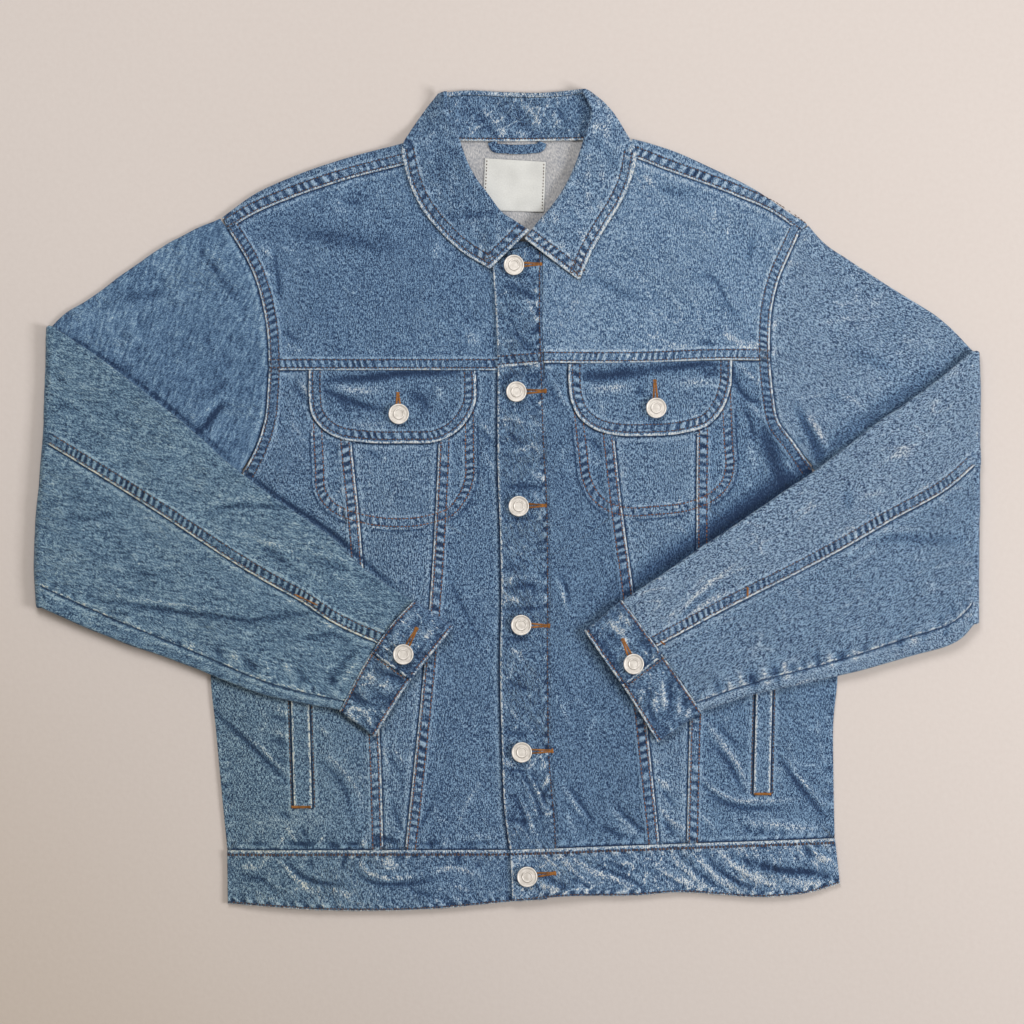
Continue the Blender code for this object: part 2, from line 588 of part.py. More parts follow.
def sleeve_pieces(denim):
    """Top sleeve, which wraps round both edges, and under sleeve between the lengthwise seams."""
    slit = 0.0015                                    # half the seam's gap, as a share of the width
    flat = [(v, 180) for v in stretches(YOKE_END, YOKE_ROWS, PANEL_ROWS)]
    turn = [45, 90, 135]
    top_share = np.linspace(BACK_ARM_SEAM - slit, 0, 4)
    around = [(v, 0) for v in top_share] + [(0, a) for a in turn] + flat
    around += [(1, a) for a in turn[::-1]] + [(1, 0), (UNDERARM_SEAM + slit, 0)]
    under = [(v, 0) for v in np.linspace(BACK_ARM_SEAM + slit, UNDERARM_SEAM - slit, 7)]
    for side in ("right", "left"):
        for name, rows in (("sleeve_top", around), ("sleeve_under", under)):
            points = sleeve_points(side, rows)
            for end, inner in ((0, 1), (-1, -2)):
                way = points[inner] - points[end]
                points[end] += SEAM_GAP * way / np.linalg.norm(way, axis=1, keepdims=True)
            cloth(f"{name}_{side}", points, denim)


def cuff_level(side, around):
    """Middle points of a cuff: one strip wound once round the wrist, its end lapped on top.

    around has a row for each point: the share across from the upper edge, and the height
    above the cuff's underside.
    """
    share = np.array([row[0] for row in around])
    height = np.array([row[1] for row in around])
    seam, edge = path(CUFF_SEAM[side], share), path(CUFF_EDGE[side], share)
    along = np.linspace(0, 1, 4)[:, None, None]
    plan = drawn_in((1 - along) * seam + along * edge, near=False, far=False, head=False,
                    by=2 * SEAM_GAP)
    rest = FOREARM_REST + FOREARM_STEP
    return raised(plan, rest + height)


def cuff_pieces(denim):
    """The two cuffs, each buttoned to itself."""
    for side in ("right", "left"):
        cloth(f"cuff_{side}", cuff_level(side, CUFF_LAP + CUFF_ROUND + CUFF_UNDERLAP), denim, DOUBLE)


# ---- collar, loop and label -----------------------------------------------------------------------
def collar_pieces(denim):
    """Two leaves that roll over at the neck, the fall behind it and the band inside it."""
    for side in ("right", "left"):
        shares = np.linspace(0, 1, 13)
        stations = path(COLLAR_LEAF[side], shares)
        roll, edge = stations[:, None, :2], stations[:, None, 2:]
        wide = np.linalg.norm(edge - roll, axis=-1, keepdims=True)
        way = (edge - roll) / wide
        behind = np.minimum(wide * 0.28, LEAF_TUCK)
        inset = np.minimum(LEAF_RADIUS + DOUBLE / 2, wide * 0.45)
        start = roll + inset * way
        across = np.array([1.0, 0.8, 0.6, 0.4, 0.2, 0.0])[None, :, None]
        leaf = start + across * (edge - start)
        turn = np.radians([36, 72, 108, 144])[None, :, None]
        rolled = start - LEAF_RADIUS * np.sin(turn) * way
        tucked = start + np.array([0.0, 0.5, 1.0])[None, :, None] * behind * way
        crest = front_crest(start[..., 0], start[..., 1]) + LEAF_GAP + DOUBLE / 2
        lie = front_crest(leaf[..., 0], leaf[..., 1]) + LEAF_GAP + DOUBLE / 2
        leaf_z = lie + 2 * LEAF_RADIUS * (1 - across[..., 0])
        past_shoulder = step((0.325 - shares[:, None]) / 0.1625) * across[..., 0] ** 2
        leaf_z = leaf_z + past_shoulder * (DOUBLE + REST_GAP + DOUBLE / 2 - leaf_z)
        turn_z = crest + LEAF_RADIUS * (1 + np.cos(turn[..., 0]))
        tuck_z = front_crest(tucked[..., 0], tucked[..., 1]) + LEAF_GAP + DOUBLE / 2
        points = np.concatenate([raised(leaf, leaf_z), raised(rolled, turn_z),
                                 raised(tucked, tuck_z)], axis=1)
        cloth(f"collar_leaf_{side}", points, denim, DOUBLE)

    plan = spanned([(-84, 285), (103, 285)], COLLAR_ROLL, FALL_SIDE["right"], FALL_SIDE["left"],
                   *grid(8, 3))
    low, high = DOUBLE / 2, DOUBLE / 2 + 2 * ROLL_RADIUS
    rows = [raised(plan, low)]
    for angle in np.radians([45, 90, 135, 180]):
        over = plan[-1] + np.array([0.0, ROLL_RADIUS * 1.6 * np.sin(angle)])
        rows.append(raised(over, low + ROLL_RADIUS * (1 - np.cos(angle)))[None])
    rows.append(raised(plan[-1] - np.array([0.0, 2.0]), high)[None])
    cloth("collar_fall", np.concatenate(rows), denim, DOUBLE)

    head = [(x, y - 3.4) for x, y in COLLAR_ROLL]
    sides = ([COLLAR_BAND_FOOT[0], head[0]], [COLLAR_BAND_FOOT[-1], head[-1]])
    panel("collar_band", (COLLAR_BAND_FOOT, head, *sides), 8, 4, level_at(high), denim)


def neck_pieces(denim, label):
    """Hanger loop and label inside the back of the neck."""
    line = path(LOOP_LINE, np.linspace(0, 1, 13))
    normal = edge_normals(line, 1)
    half = LOOP_WIDTH / 2
    plan = line[:, None] + np.array([-half, half])[None, :, None] * normal[:, None]
    plan[..., 1] = np.minimum(plan[..., 1], COLLAR_BAND_FOOT[0][1] - 0.7)
    level = back_middle(plan[..., 0], plan[..., 1]) + CLOTH + REST_GAP
    cloth("hanger_loop", raised(plan, level), denim)

    foot, head = LABEL_CORNERS[:2], LABEL_CORNERS[2:]
    panel("neck_label", (foot, head, [foot[0], head[0]], [foot[1], head[1]]), 3, 4, label_middle,
          label, LABEL)


def buttons(metal):
    """Ten turned metal buttons: five on the band, and one each on the waist, flaps and cuffs."""
    on_band = FACED + REST_GAP + CLOTH / 2 + SEAM_GAP
    for number, (x, y) in enumerate(BAND_BUTTONS, 1):
        button(f"button_band_{number}", x, y, front_middle(x, y) + on_band, metal)
    x, y = WAIST_BUTTON
    button("button_waist", x, y, waist_over(x, y) + DOUBLE / 2 + SEAM_GAP, metal)
    for side in ("right", "left"):
        x, y = FLAP_BUTTON[side]
        seat = front_middle(x, y) + CLOTH / 2 + REST_GAP + DOUBLE + SEAM_GAP
        button(f"button_flap_{side}", x, y, seat, metal)
        x, y = CUFF_BUTTON[side]
        seat = FOREARM_REST + FOREARM_STEP + CUFF_LAP[0][1] + DOUBLE / 2 + SEAM_GAP
        button(f"button_cuff_{side}", x, y, seat, metal)


def main():
    for old in list(bpy.data.objects):
        bpy.data.objects.remove(old, do_unlink=True)
    denim = material("denim", (0.14, 0.24, 0.40), 0.9)
    label = material("label", (0.80, 0.80, 0.77), 0.8)
    metal = material("metal", (0.72, 0.70, 0.66), 0.35, 1.0)
    back_pieces(denim)
    front_pieces(denim)
    pocket_pieces(denim)
    sleeve_pieces(denim)
    cuff_pieces(denim)
    collar_pieces(denim)
    neck_pieces(denim, label)
    buttons(metal)


main()
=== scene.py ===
"""Denim jacket laid flat on its back, buttoned, with both sleeves folded across the front.

Each cloth piece is a thin closed wall on the middle surface of its solid in the frame: the
outer side is a fine grid that carries seams, puckers and creases, the inner side a coarse
one. Sizes and tables are in millimetres, sides are the wearer's, +X is the wearer's left
and +Y the collar.
"""

import bpy
import numpy as np
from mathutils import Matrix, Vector


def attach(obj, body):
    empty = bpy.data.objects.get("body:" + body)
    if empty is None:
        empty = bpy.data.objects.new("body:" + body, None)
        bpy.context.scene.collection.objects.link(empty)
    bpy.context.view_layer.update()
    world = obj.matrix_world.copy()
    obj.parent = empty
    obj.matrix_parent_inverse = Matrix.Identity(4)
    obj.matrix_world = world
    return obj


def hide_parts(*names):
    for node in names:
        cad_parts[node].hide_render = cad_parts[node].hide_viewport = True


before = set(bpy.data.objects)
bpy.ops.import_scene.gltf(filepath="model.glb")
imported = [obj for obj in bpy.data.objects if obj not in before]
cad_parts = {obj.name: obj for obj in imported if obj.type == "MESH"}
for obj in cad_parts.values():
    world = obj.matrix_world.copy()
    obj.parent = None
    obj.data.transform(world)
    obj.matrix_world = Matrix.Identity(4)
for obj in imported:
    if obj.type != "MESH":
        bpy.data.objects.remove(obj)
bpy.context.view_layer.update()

MM = 0.001
SIDES = ("right", "left")
FINENESS = 1.03

# ---- driving dimensions ----
CLOTH = 1.2            # wall of one layer of denim
DOUBLE = 1.8           # wall of a piece sewn double: collar, flap, cuff, waistband
FACED = 2.0            # wall of the front band, folded and faced
LABEL = 1.0            # wall of the neck label
BAG = 1.0              # wall of a pocket bag
SEAM_GAP = 0.35        # gap between two pieces at their seam
HIDDEN_GAP = 1.5       # the same at the back's armholes, under the front
REST_GAP = 0.5         # gap between a piece and the one it lies on
LEAF_GAP = 0.9         # the same under the collar's leaves
BAG_GAP = 0.45         # the same over a pocket bag
RIM = 0.3              # how far the rounded edge of one layer stands out
DOUBLE_RIM = 0.5       # the same for a piece sewn double
LEAF_RIM = 0.55        # the same for a leaf of the collar
HOLLOW = 1.7           # back's middle surface up to the front's, at the side seam
FULLNESS = 1.7         # further height of the front, away from the side seam
FALL_TOP = 2.2         # what the collar's fall, folded behind the neck, lifts the back by
SWELL = 0.35           # soft swells of the front
BAND_TOP = 2.5         # top of the front band above the top of the front beside it
LEFT_RISE = 2.4        # what the left front rises by onto the front band
WAIST_RISE = 1.1       # middle of a front waistband above the middle of the front
WAIST_LAP = 2.5        # what the left waistband's end rises by, over the right one's
ELBOW_AXIS = 5.6       # height of the axis that a sleeve is folded about, at the elbow
SLEEVE_ROUND = 1.3     # radius of a flat sleeve's turned edges
SLEEVE_PUFF = 1.4      # further height in the middle of a flat sleeve
FOREARM_REST = 6.0     # underside of the forearm over the upper arm
FOREARM_STEP = 2.0     # further height of the forearm over the body
BUTTON_RADIUS = 8.5
BUTTON_HEIGHT = 4.2
ROLL_RADIUS = 1.9      # radius that the collar rolls over at the back of the neck
LEAF_RADIUS = 1.65     # the same for its leaves, at the front
LEAF_TUCK = 15         # how far a leaf's cloth runs back under it, at most
LOOP_WIDTH = 7.2       # width of the hanger loop's tape
THREAD_RADIUS = 0.42
THREAD_SUNK = 0.12     # how deep a stitch lies in the cloth

# ---- seams and edges, each a row of points: x, y ----
SHOULDER_EDGE = {
    "right": [(-237, 234), (-209, 254), (-182, 266.5), (-135, 283), (-87, 295.5)],
    "left": [(249, 229), (235, 237.5), (206, 257), (170, 275), (133, 291), (104, 299)],
}
SHOULDER_SEAM = {
    "right": [(-232, 224), (-212, 236), (-182, 249), (-135, 265), (-84, 278)],
    "left": [(243, 222), (224, 236), (187, 253), (133, 273), (104, 284)],
}
NECK_SEAM = {
    "right": [(-84, 278), (-62, 262), (-40, 240), (-18, 221), (30, 212)],
    "left": [(104, 284), (85, 263), (65, 243), (48, 226), (29.6, 212)],
}
ARMHOLE_UPPER = {
    "right": [(-232, 224), (-226, 215), (-212.5, 191), (-203.5, 163), (-199, 135), (-198, 107)],
    "left": [(243, 222), (234.5, 203.5), (225.5, 182), (220, 160), (218, 135), (218, 115)],
}
ARMHOLE_LOWER = {
    "right": [(-198, 107), (-199, 89.5), (-201, 68), (-208.5, 43), (-219.5, 21.5)],
    "left": [(218, 115), (220.5, 89.5), (225.5, 64), (238, 47), (253, 25.5)],
}
SIDE_SEAM = {
    "right": [(-219.5, 21.5), (-236, -70), (-246.5, -144), (-242, -193), (-237, -247), (-232.5, -292)],
    "left": [(253, 25.5), (268, -70), (274.5, -148), (271, -184), (271, -229), (272, -282)],
}
OUTER_PANEL_SEAM = {
    "right": [(-132.5, 107), (-129.5, 48), (-123, -17), (-120, -53), (-106, -197), (-103, -291.5)],
    "left": [(158, 114.5), (157.5, 59), (157, -13), (157, -41), (151.5, -181), (149, -286)],
}
INNER_PANEL_SEAM = {
    "right": [(-54.5, 107), (-57, 48), (-60, -17), (-64.5, -87), (-70.5, -154), (-85, -291.5)],
    "left": [(82.5, 112), (88.5, 53), (95.5, -10), (104.5, -76), (115.5, -183), (126.5, -287)],
}
YOKE_SEAM = {  # from the armhole to the front edge
    "right": [(-198, 107), (30, 107)],
    "left": [(218, 115), (184, 115.5), (107, 113), (31, 113)],
}
WAIST_SEAM = {
    "right": [(-232.5, -292), (33, -291.5)],
    "left": [(272, -282), (200, -284.5), (100, -288), (42, -290)],
}
WAIST_HEAD = {"right": WAIST_SEAM["right"], "left": WAIST_SEAM["left"] + [(2.5, -291.3)]}
BAND_EDGE = [(2, -291), (-2, -261), (-4.5, -203), (-6, -127), (-5, -84), (-6, -31), (-8, 28),
             (-8.5, 132), (-12, 191), (-13, 203)]
BAND_SEAM = [(42, -290), (41.5, -274), (37, -222), (35.5, -146), (35.5, -59), (34.5, 2.5), (32, 48),
             (30.5, 95), (29, 140), (29, 212)]
UNDERLAP_EDGE = [(33, -291.5), (30, -200), (28, -60), (26, 60), (27, 107), (27, 160), (29, 212)]
HEM = {
    "right": [(-232, -335.5), (-147, -341), (-56, -339.5), (1.5, -334), (33, -332)],
    "left": [(276, -319), (250, -326.5), (224, -329.5), (134, -326.5), (110, -328.5), (47, -329.5),
             (4.5, -333.5)],
}

# ---- sleeves: each edge from the armhole outwards, then from the elbow to the cuff ----
SLEEVE_TOP = {
    "right": [(-239, 233), (-255, 226.5), (-305, 197), (-349, 165), (-369, 152.5), (-383, 144)],
    "left": [(250.5, 227), (263, 213), (283, 199), (326, 171), (360, 148.5), (392, 123)],
}
SLEEVE_UNDER = {
    "right": [(-221.8, 22.6), (-300, -35), (-391, -90.5)],
    "left": [(255.2, 26.4), (320, -35), (392, -104)],
}
ELBOW_EDGE = {
    "right": [(-383, 144), (-384, 100), (-385.5, 57), (-389, 12), (-392, -24), (-392.5, -70), (-391, -90.5)],
    "left": [(392, 123), (392.8, 100), (392.8, 34), (392, -42), (391.5, -104)],
}
FOREARM_UPPER = {
    "right": [(-383, 144), (-321.5, 104), (-272, 65), (-221, 21.5), (-189, -2.5), (-147, -31),
              (-117.5, -59), (-100, -71.5), (-77.5, -84)],
    "left": [(392, 123), (351, 94), (308.5, 64), (264, 30), (202, -12.5), (153, -45.5), (106, -77),
             (95.5, -84)],
}
FOREARM_LOWER = {
    "right": [(-391, -90.5), (-354, -104.5), (-327, -115.5), (-255, -142), (-204, -162), (-139, -175)],
    "left": [(391.5, -104), (378, -113.5), (329, -132), (274.5, -147), (202, -163), (161, -176)],
}
CUFF_SEAM = {
    "right": [(-77.5, -84), (-95.5, -103), (-112, -126), (-139, -175)],
    "left": [(95.5, -84), (115, -110), (131.5, -133), (161, -176)],
}
CUFF_EDGE = {
    "right": [(-45, -106), (-63, -128), (-80.5, -150), (-110, -196.5)],
    "left": [(64.5, -109.5), (80, -132), (96, -155), (125, -201)],
}
# Ends of a cuff's section, each as the share across from its upper edge, and the height over its
# underside: the lap on top from the button to the turned edge, the round of the wrist, and the end
# that the lap covers.
CUFF_LAP = [(0.5, 6), (0.38, 6), (0.26, 6), (0.14, 6), (0.05, 6), (0.014, 5.2), (0, 3.4), (0.014, 1.7)]
CUFF_ROUND = [(0.06, 0.9), (0.25, 0.9), (0.45, 0.9), (0.65, 0.9), (0.85, 0.9), (0.96, 0.9)]
CUFF_UNDERLAP = [(0.99, 1.4), (0.999, 2.3), (0.99, 3.2), (0.95, 3.7), (0.8, 3.7), (0.65, 3.7),
                 (0.52, 3.7), (0.42, 3.7)]
# Heights over which a piece's cloth is its upper layer, on which its stitches lie.
ON_SHOULDER, ON_LEAF, ON_FOREARM, ON_CUFF, ON_TAB = 4.3, 4.0, 8.0, 11.0, 13.0
# Share of a front yoke's width where the shoulder seam meets the neck seam.
NECK_POINT = 0.56
# Share of a body panel's side, from the waist, where the armpit lies.
ARMPIT = 0.78
# Share of the armhole, from the shoulder, where the front yoke ends.
YOKE_END = 0.6
# Share of the sleeve's width, from its upper edge, where the two lengthwise seams run.
BACK_ARM_SEAM = 0.42
UNDERARM_SEAM = 0.92

# ---- collar: stations from the back of the neck to the front: roll x, y, edge x, y ----
COLLAR_LEAF = {
    "right": [(-50.0, 337.6, -57, 336.2), (-48, 320, -69, 321), (-42, 306, -80, 305),
              (-35, 284, -87, 290), (-27, 268, -82.5, 268), (-16, 253, -73, 245),
              (-4.5, 238, -58, 225), (6, 231, -38, 206), (18, 223, -14.5, 191.5)],
    "left": [(61.0, 339.4, 68, 338.6), (69, 322, 83, 326), (65, 305, 98, 304),
             (60, 288, 106.5, 287), (53, 270, 101, 262), (45, 255, 92, 243),
             (35, 241, 82, 227), (24.5, 229, 70, 206), (14.5, 216, 59.5, 182)],
}
FALL_SIDE = {
    "right": [(-84, 285), (-85, 292), (-74, 311), (-51, 334)],
    "left": [(103, 285), (104, 292), (94, 309), (62.5, 337)],
}
COLLAR_ROLL = [(-51, 334), (-36, 335.5), (0, 334.2), (30, 333.8), (50, 335.5), (62.5, 337)]
COLLAR_BAND_FOOT = [(-47, 297.5), (8, 297), (70, 298)]
LOOP_TOP = 296.8  # where the loop's ends go under the collar's band
LOOP_LINE = [(-12.5, 296.5), (-11, 292.5), (-2, 290.8), (8, 290.3), (19, 290.8), (27.5, 292.5), (29, 296)]

# ---- flaps, pocket bags, welts ----
FLAP = {  # outline below the yoke seam
    "right": [(-164.5, 106.5), (-164.5, 87), (-162, 70), (-153, 58), (-139.5, 50.5), (-122, 47.5),
              (-85, 46.5), (-58, 48), (-43.5, 55), (-33.5, 65.5), (-27, 79), (-26, 95), (-26.5, 106.5)],
    "left": [(186.5, 115), (185.5, 94.5), (179, 75.5), (167.5, 62), (146, 55), (115, 52.5), (92, 53),
             (73.5, 57.5), (59.5, 68), (53, 82), (51, 98), (51, 112)],
}
POCKET_BAG = {
    "right": [(-163, 104), (-163, 65.5), (-161.5, 28), (-159, 3), (-150.5, -9), (-135.5, -17.5),
              (-122, -21.5), (-61, -21.5), (-46.5, -16.5), (-32, 0), (-27, 13), (-26, 43), (-27, 104)],
    "left": [(186.5, 110), (189, 48), (190, 25), (185.5, 10), (173, -2.5), (153, -11), (122.5, -15),
             (99.5, -16), (86, -13), (70, -2.5), (61, 14), (57, 40.5), (53, 80), (52, 110)],
}
WELT = {  # outer and inner long edges, x at the foot and head
    "right": {"foot": (-177, -162), "head": (-181, -166), "low": -256.5, "high": -122},
    "left": {"foot": (204.5, 218), "head": (207.5, 221), "low": -245.5, "high": -114},
}

# ---- buttons: x, y ----
BAND_BUTTONS = [(5.5, 194), (7.5, 89), (9.5, -6), (11.5, -104.5), (12, -210)]
WAIST_BUTTON = (16.5, -313)
FLAP_BUTTON = {"right": (-90, 70.5), "left": (123.5, 75.5)}
CUFF_BUTTON = {"right": (-86, -128.5), "left": (104.5, -136.5)}

# ---- curves and grids ----
def step(share):
    """Soft step: 0 below 0, 1 above 1, with no kink at either end."""
    share = np.clip(share, 0.0, 1.0)
    return share * share * (3.0 - 2.0 * share)


def unit(ways):
    """Ways brought to a length of 1."""
    return ways / np.maximum(np.linalg.norm(ways, axis=-1, keepdims=True), 1e-9)


def run_of(points, axis=0):
    """Length run through along one axis of a row or grid of points."""
    spans_run = np.cumsum(np.linalg.norm(np.diff(points, axis=axis), axis=-1), axis=axis)
    return np.concatenate([np.zeros_like(spans_run.take([0], axis=axis)), spans_run], axis=axis)


def path(points, share):
    """Smooth curve through the points, read at shares of its length.

    Each span is a cubic whose end slopes are the mean slopes of the spans that meet there.
    """
    points = np.array(points, float)
    share = np.asarray(share, float)
    along = run_of(points)
    slope = np.gradient(points, along, axis=0)
    at = share.ravel() * along[-1]
    i = np.clip(np.searchsorted(along, at, side="right") - 1, 0, len(points) - 2)
    span = (along[i + 1] - along[i])[:, None]
    t = (at - along[i])[:, None] / span
    found = ((1 + 2 * t) * (1 - t) ** 2 * points[i] + t * (1 - t) ** 2 * span * slope[i]
             + t * t * (3 - 2 * t) * points[i + 1] + t * t * (t - 1) * span * slope[i + 1])
    return found.reshape(share.shape + (points.shape[1],))


def cornered(first, second, turn):
    """Edge of two smooth curves that meet at a corner, at the given share of the whole."""
    def edge(share):
        before = path(first, np.clip(share / turn, 0, 1))
        after = path(second, np.clip((share - turn) / (1 - turn), 0, 1))
        return np.where((share < turn)[..., None], before, after)
    return edge


def read(edge, share):
    """An edge, given as a function or as a row of points, at shares of its length."""
    return edge(share) if callable(edge) else path(edge, share)


def spanned(foot, head, near, far, u, v):
    """Point of a sheet spanned between four edges: foot and head run with u, near and far with v.

    It is the sum of the two ruled sheets between opposite edges, less the flat sheet
    between the four corners.
    """
    a, b = read(foot, u), read(head, u)
    c, d = read(near, v), read(far, v)
    low_near, low_far = read(foot, np.array([0.0, 1.0]))
    high_near, high_far = read(head, np.array([0.0, 1.0]))
    u, v = u[..., None], v[..., None]
    corners = (1 - v) * ((1 - u) * low_near + u * low_far)
    corners = corners + v * ((1 - u) * high_near + u * high_far)
    return (1 - v) * a + v * b + (1 - u) * c + u * d - corners


def grid(cols, rows):
    """Shares across and up a sheet of so many spans each way."""
    return np.meshgrid(np.linspace(0, 1, cols + 1), np.linspace(0, 1, rows + 1))


def drawn_in(plan, near=True, far=True, foot=True, head=True, by=SEAM_GAP / 2):
    """The plan with its named borders moved inwards by half a seam's gap."""
    plan = plan.copy()
    for wanted, edge, inner in ((foot, np.s_[0], np.s_[1]), (head, np.s_[-1], np.s_[-2]),
                                (near, np.s_[:, 0], np.s_[:, 1]), (far, np.s_[:, -1], np.s_[:, -2])):
        if wanted:
            plan[edge] += by * unit(plan[inner] - plan[edge])
    return plan


def raised(plan, height):
    """A plan of x, y lifted to the given height."""
    height = np.broadcast_to(height, plan.shape[:-1])
    return np.concatenate([plan, height[..., None]], axis=-1)


# ---- heights of the layers, each the middle surface of its wall ----
def fall_lift(x, y):
    """What the fall of the collar, folded under the neck, lifts the cloth above it by."""
    across = step((x + 112) / 22) * step((130 - x) / 22)
    return FALL_TOP * step((y - 264) / 16) * across


def back_middle(x, y):
    """The back, flat on the surface and lifted only at the neck."""
    return CLOTH / 2 + fall_lift(x, y)


def side_distance(x, y):
    """Distance from the nearer side seam, growing fast above the armpit."""
    right = np.interp(y, [-341, -292, -247, -193, -144, -70, 21, 60],
                      [-232, -232, -237, -242, -246, -236, -220, -330])
    left = np.interp(y, [-341, -282, -229, -184, -148, -70, 25, 60],
                     [276, 272, 271, 271, 274, 268, 253, 360])
    return np.minimum(x - right, left - x)


def front_middle(x, y):
    """The front, close to the back at the side seams and fuller inside, with soft swells."""
    full = step(side_distance(x, y) / 36)
    swell = SWELL * (1 + np.sin(x / 37 + 0.6) * np.sin(y / 53 + 1.1)) * full
    return CLOTH / 2 + fall_lift(x, y) + HOLLOW + FULLNESS * full + swell


def left_front_middle(x, y):
    """The left front, which comes down from the front band onto the level of the right one."""
    return front_middle(x, y) + LEFT_RISE * (1 - step((x - 36) / 40))


def band_middle(x, y):
    """The front band, on the buttoned fronts."""
    return front_middle(x, y) + CLOTH / 2 + REST_GAP + FACED / 2


def waist_middle(x, y):
    """A front waistband."""
    return front_middle(x, y) + WAIST_RISE


def waist_over(x, y):
    """The left waistband, whose end lies on the right one's."""
    return waist_middle(x, y) + WAIST_LAP * (1 - step((x - 44) / 34))


def bag_middle(x, y):
    """A pocket bag, under the front."""
    return front_middle(x, y) - CLOTH / 2 - BAG_GAP - BAG / 2


def label_middle(x, y):
    """The neck label, on the back."""
    return back_middle(x, y) + CLOTH / 2 + REST_GAP + LABEL / 2


def welt_middle(x, y):
    """A welt, on the front."""
    return front_middle(x, y) + CLOTH + REST_GAP


def front_crest(x, y):
    """Top of the buttoned fronts, with the front band, under the collar's leaves."""
    band = BAND_TOP * step((x + 26) / 12) * step((80 - x) / 42) * step((245 - y) / 25)
    return front_middle(x, y) + CLOTH / 2 + band


def forearm_rest(x):
    """Underside of the forearm: over the upper arm outside the body, and higher over the body."""
    return FOREARM_REST + FOREARM_STEP * step((262 - np.abs(x)) / 50)


# ---- fields and lines ----
WAVES = 26  # plane waves in a random field


def field(x, y, size, seed, angle=0.0, stretch=1.0):
    """Smooth random field with a spread of 1: a sum of plane waves about size millimetres long,
    drawn out along the angle by the stretch."""
    rng = np.random.default_rng(seed)
    number = 2 * np.pi / size * rng.uniform(0.55, 1.45, WAVES)
    way, phase = rng.uniform(0, 2 * np.pi, (2, WAVES))
    u = x * np.cos(angle) + y * np.sin(angle)
    v = y * np.cos(angle) - x * np.sin(angle)
    total = np.zeros_like(x, dtype=float)
    for k, w, p in zip(number, way, phase):
        total += np.sin(k * np.cos(w) / stretch * u + k * np.sin(w) * v + p)
    return total / np.sqrt(WAVES / 2)


def lines_in(values, width):
    """Thin curved lines, 1 on the zeros of a field and 0 away from them."""
    return np.exp(-(values / width) ** 2)


def nearest(line, x, y):
    """Distance from a row of points, side of it (1 on its left), and length along it, per point."""
    line = np.asarray(line, float)
    gap, run, side = np.full(x.shape, 1e9), np.zeros(x.shape), np.ones(x.shape)
    start = 0.0
    for a, b in zip(line[:-1], line[1:]):
        dx, dy = b - a
        length = np.hypot(dx, dy)
        px, py = x - a[0], y - a[1]
        t = np.clip((px * dx + py * dy) / length ** 2, 0, 1)
        here = np.hypot(px - t * dx, py - t * dy)
        closer = here < gap
        gap = np.where(closer, here, gap)
        run = np.where(closer, start + t * length, run)
        side = np.where(closer, np.sign(dx * py - dy * px), side)
        start += length
    return gap, side, run


def fine(line, count=48):
    """A row of points read as a smooth curve, at an even count of points."""
    if callable(line):
        return line(np.linspace(0, 1, count))
    return path(line, np.linspace(0, 1, count))


def left_of(line):
    """Unit normals in plan, to the left of a row of points."""
    run = np.gradient(np.asarray(line, float), axis=0)
    return unit(np.stack([-run[:, 1], run[:, 0]], axis=1))


def beside(line, by):
    """A row of points moved to its left by a distance."""
    return np.asarray(line, float) + by * left_of(line)


# ---- seams ----
# Columns: distances of the rows of stitches, height of the lap and its width, strength and length of
# the puckers, paleness between the rows, worn ridge at the edge, dark groove at it, and puckers past it.
# The groove's darkness is painted shade, and the darker valleys of the puckers past the edge are partly
# painted shade.
NONE = -50.0
SEAM_COLUMNS = ("row1", "row2", "height", "wide", "rope", "period", "pale", "ridge", "groove", "fold")
SEAM_TABLE = {
    "felled":   (2.0, 8.6, 0.85, 10.4, 1.15, 7.4, 0.10, 1.0, 0, 0),
    "armhole":  (2.0, 8.6, 0.85, 10.4, 0.85, 5.2, -0.10, 1.1, 0, 0),
    "yoke":     (2.0, 8.6, 0.85, 10.4, 0.75, 5.6, 0.02, 1.0, 0, 0),
    "sleeve":   (2.0, 8.6, 0.85, 10.4, 1.20, 5.4, -0.14, 1.2, 0, 0),
    "crossing": (2.0, 8.6, 0.55, 10.4, 0.90, 5.6, 0.04, 1.0, 0, 0),
    "hemmed":   (3.1, 9.2, 0.30, 10.8, 1.00, 6.8, 0.06, 1.1, 0, 0),
    "pocket":   (2.2, 8.8, 0.25, 10.6, 1.00, 6.6, 0.04, 0.2, 0, 0),
    "single":   (2.1, NONE, 0.30, 3.6, 0.60, 5.6, 0.00, 1.3, 0, 0),
    "waist":    (3.3, NONE, 0.65, 4.8, 1.00, 10.5, 0.08, 0.7, 0, 0),
    "row":      (2.1, NONE, 0.00, 3.6, 1.10, 10.0, 0.04, 0.0, 0, 0),
    "plain":    (NONE, NONE, 0.25, 2.4, 0.00, 5.0, 0.00, 0.9, 0, 0),
    "lapped":   (NONE, NONE, 0.00, 2.0, 0.80, 6.2, 0.00, 0.0, 1.0, 0.6),
    "cap":      (NONE, NONE, 0.00, 2.0, 0.60, 9.0, 0.00, 0.0, 0.9, 0.3),
    "shadow":   (NONE, NONE, 0.00, 2.0, 0.40, 9.0, 0.00, 0.0, 1.1, 0.2),
    "gathered": (NONE, NONE, 0.00, 2.0, 1.70, 9.5, 0.00, 0.0, 1.2, 1.3),
    "slit":     (NONE, NONE, 0.00, 2.0, 0.60, 8.0, 0.00, 0.0, 1.5, 0.5),
    "underarm": (NONE, NONE, 0.20, 2.0, 1.20, 13.0, 0.00, 0.9, 0.5, 1.1),
    "side":     (NONE, NONE, 0.00, 2.0, 1.00, 14.0, 0.00, 0.0, 0, 1.3),
}
KINDS = {kind: dict(zip(SEAM_COLUMNS, row)) for kind, row in SEAM_TABLE.items()}
SIGNED = ("pocket", "crossing")  # kinds on one side of their line alone
FAR = 30.0  # distance past which a point is on no seam
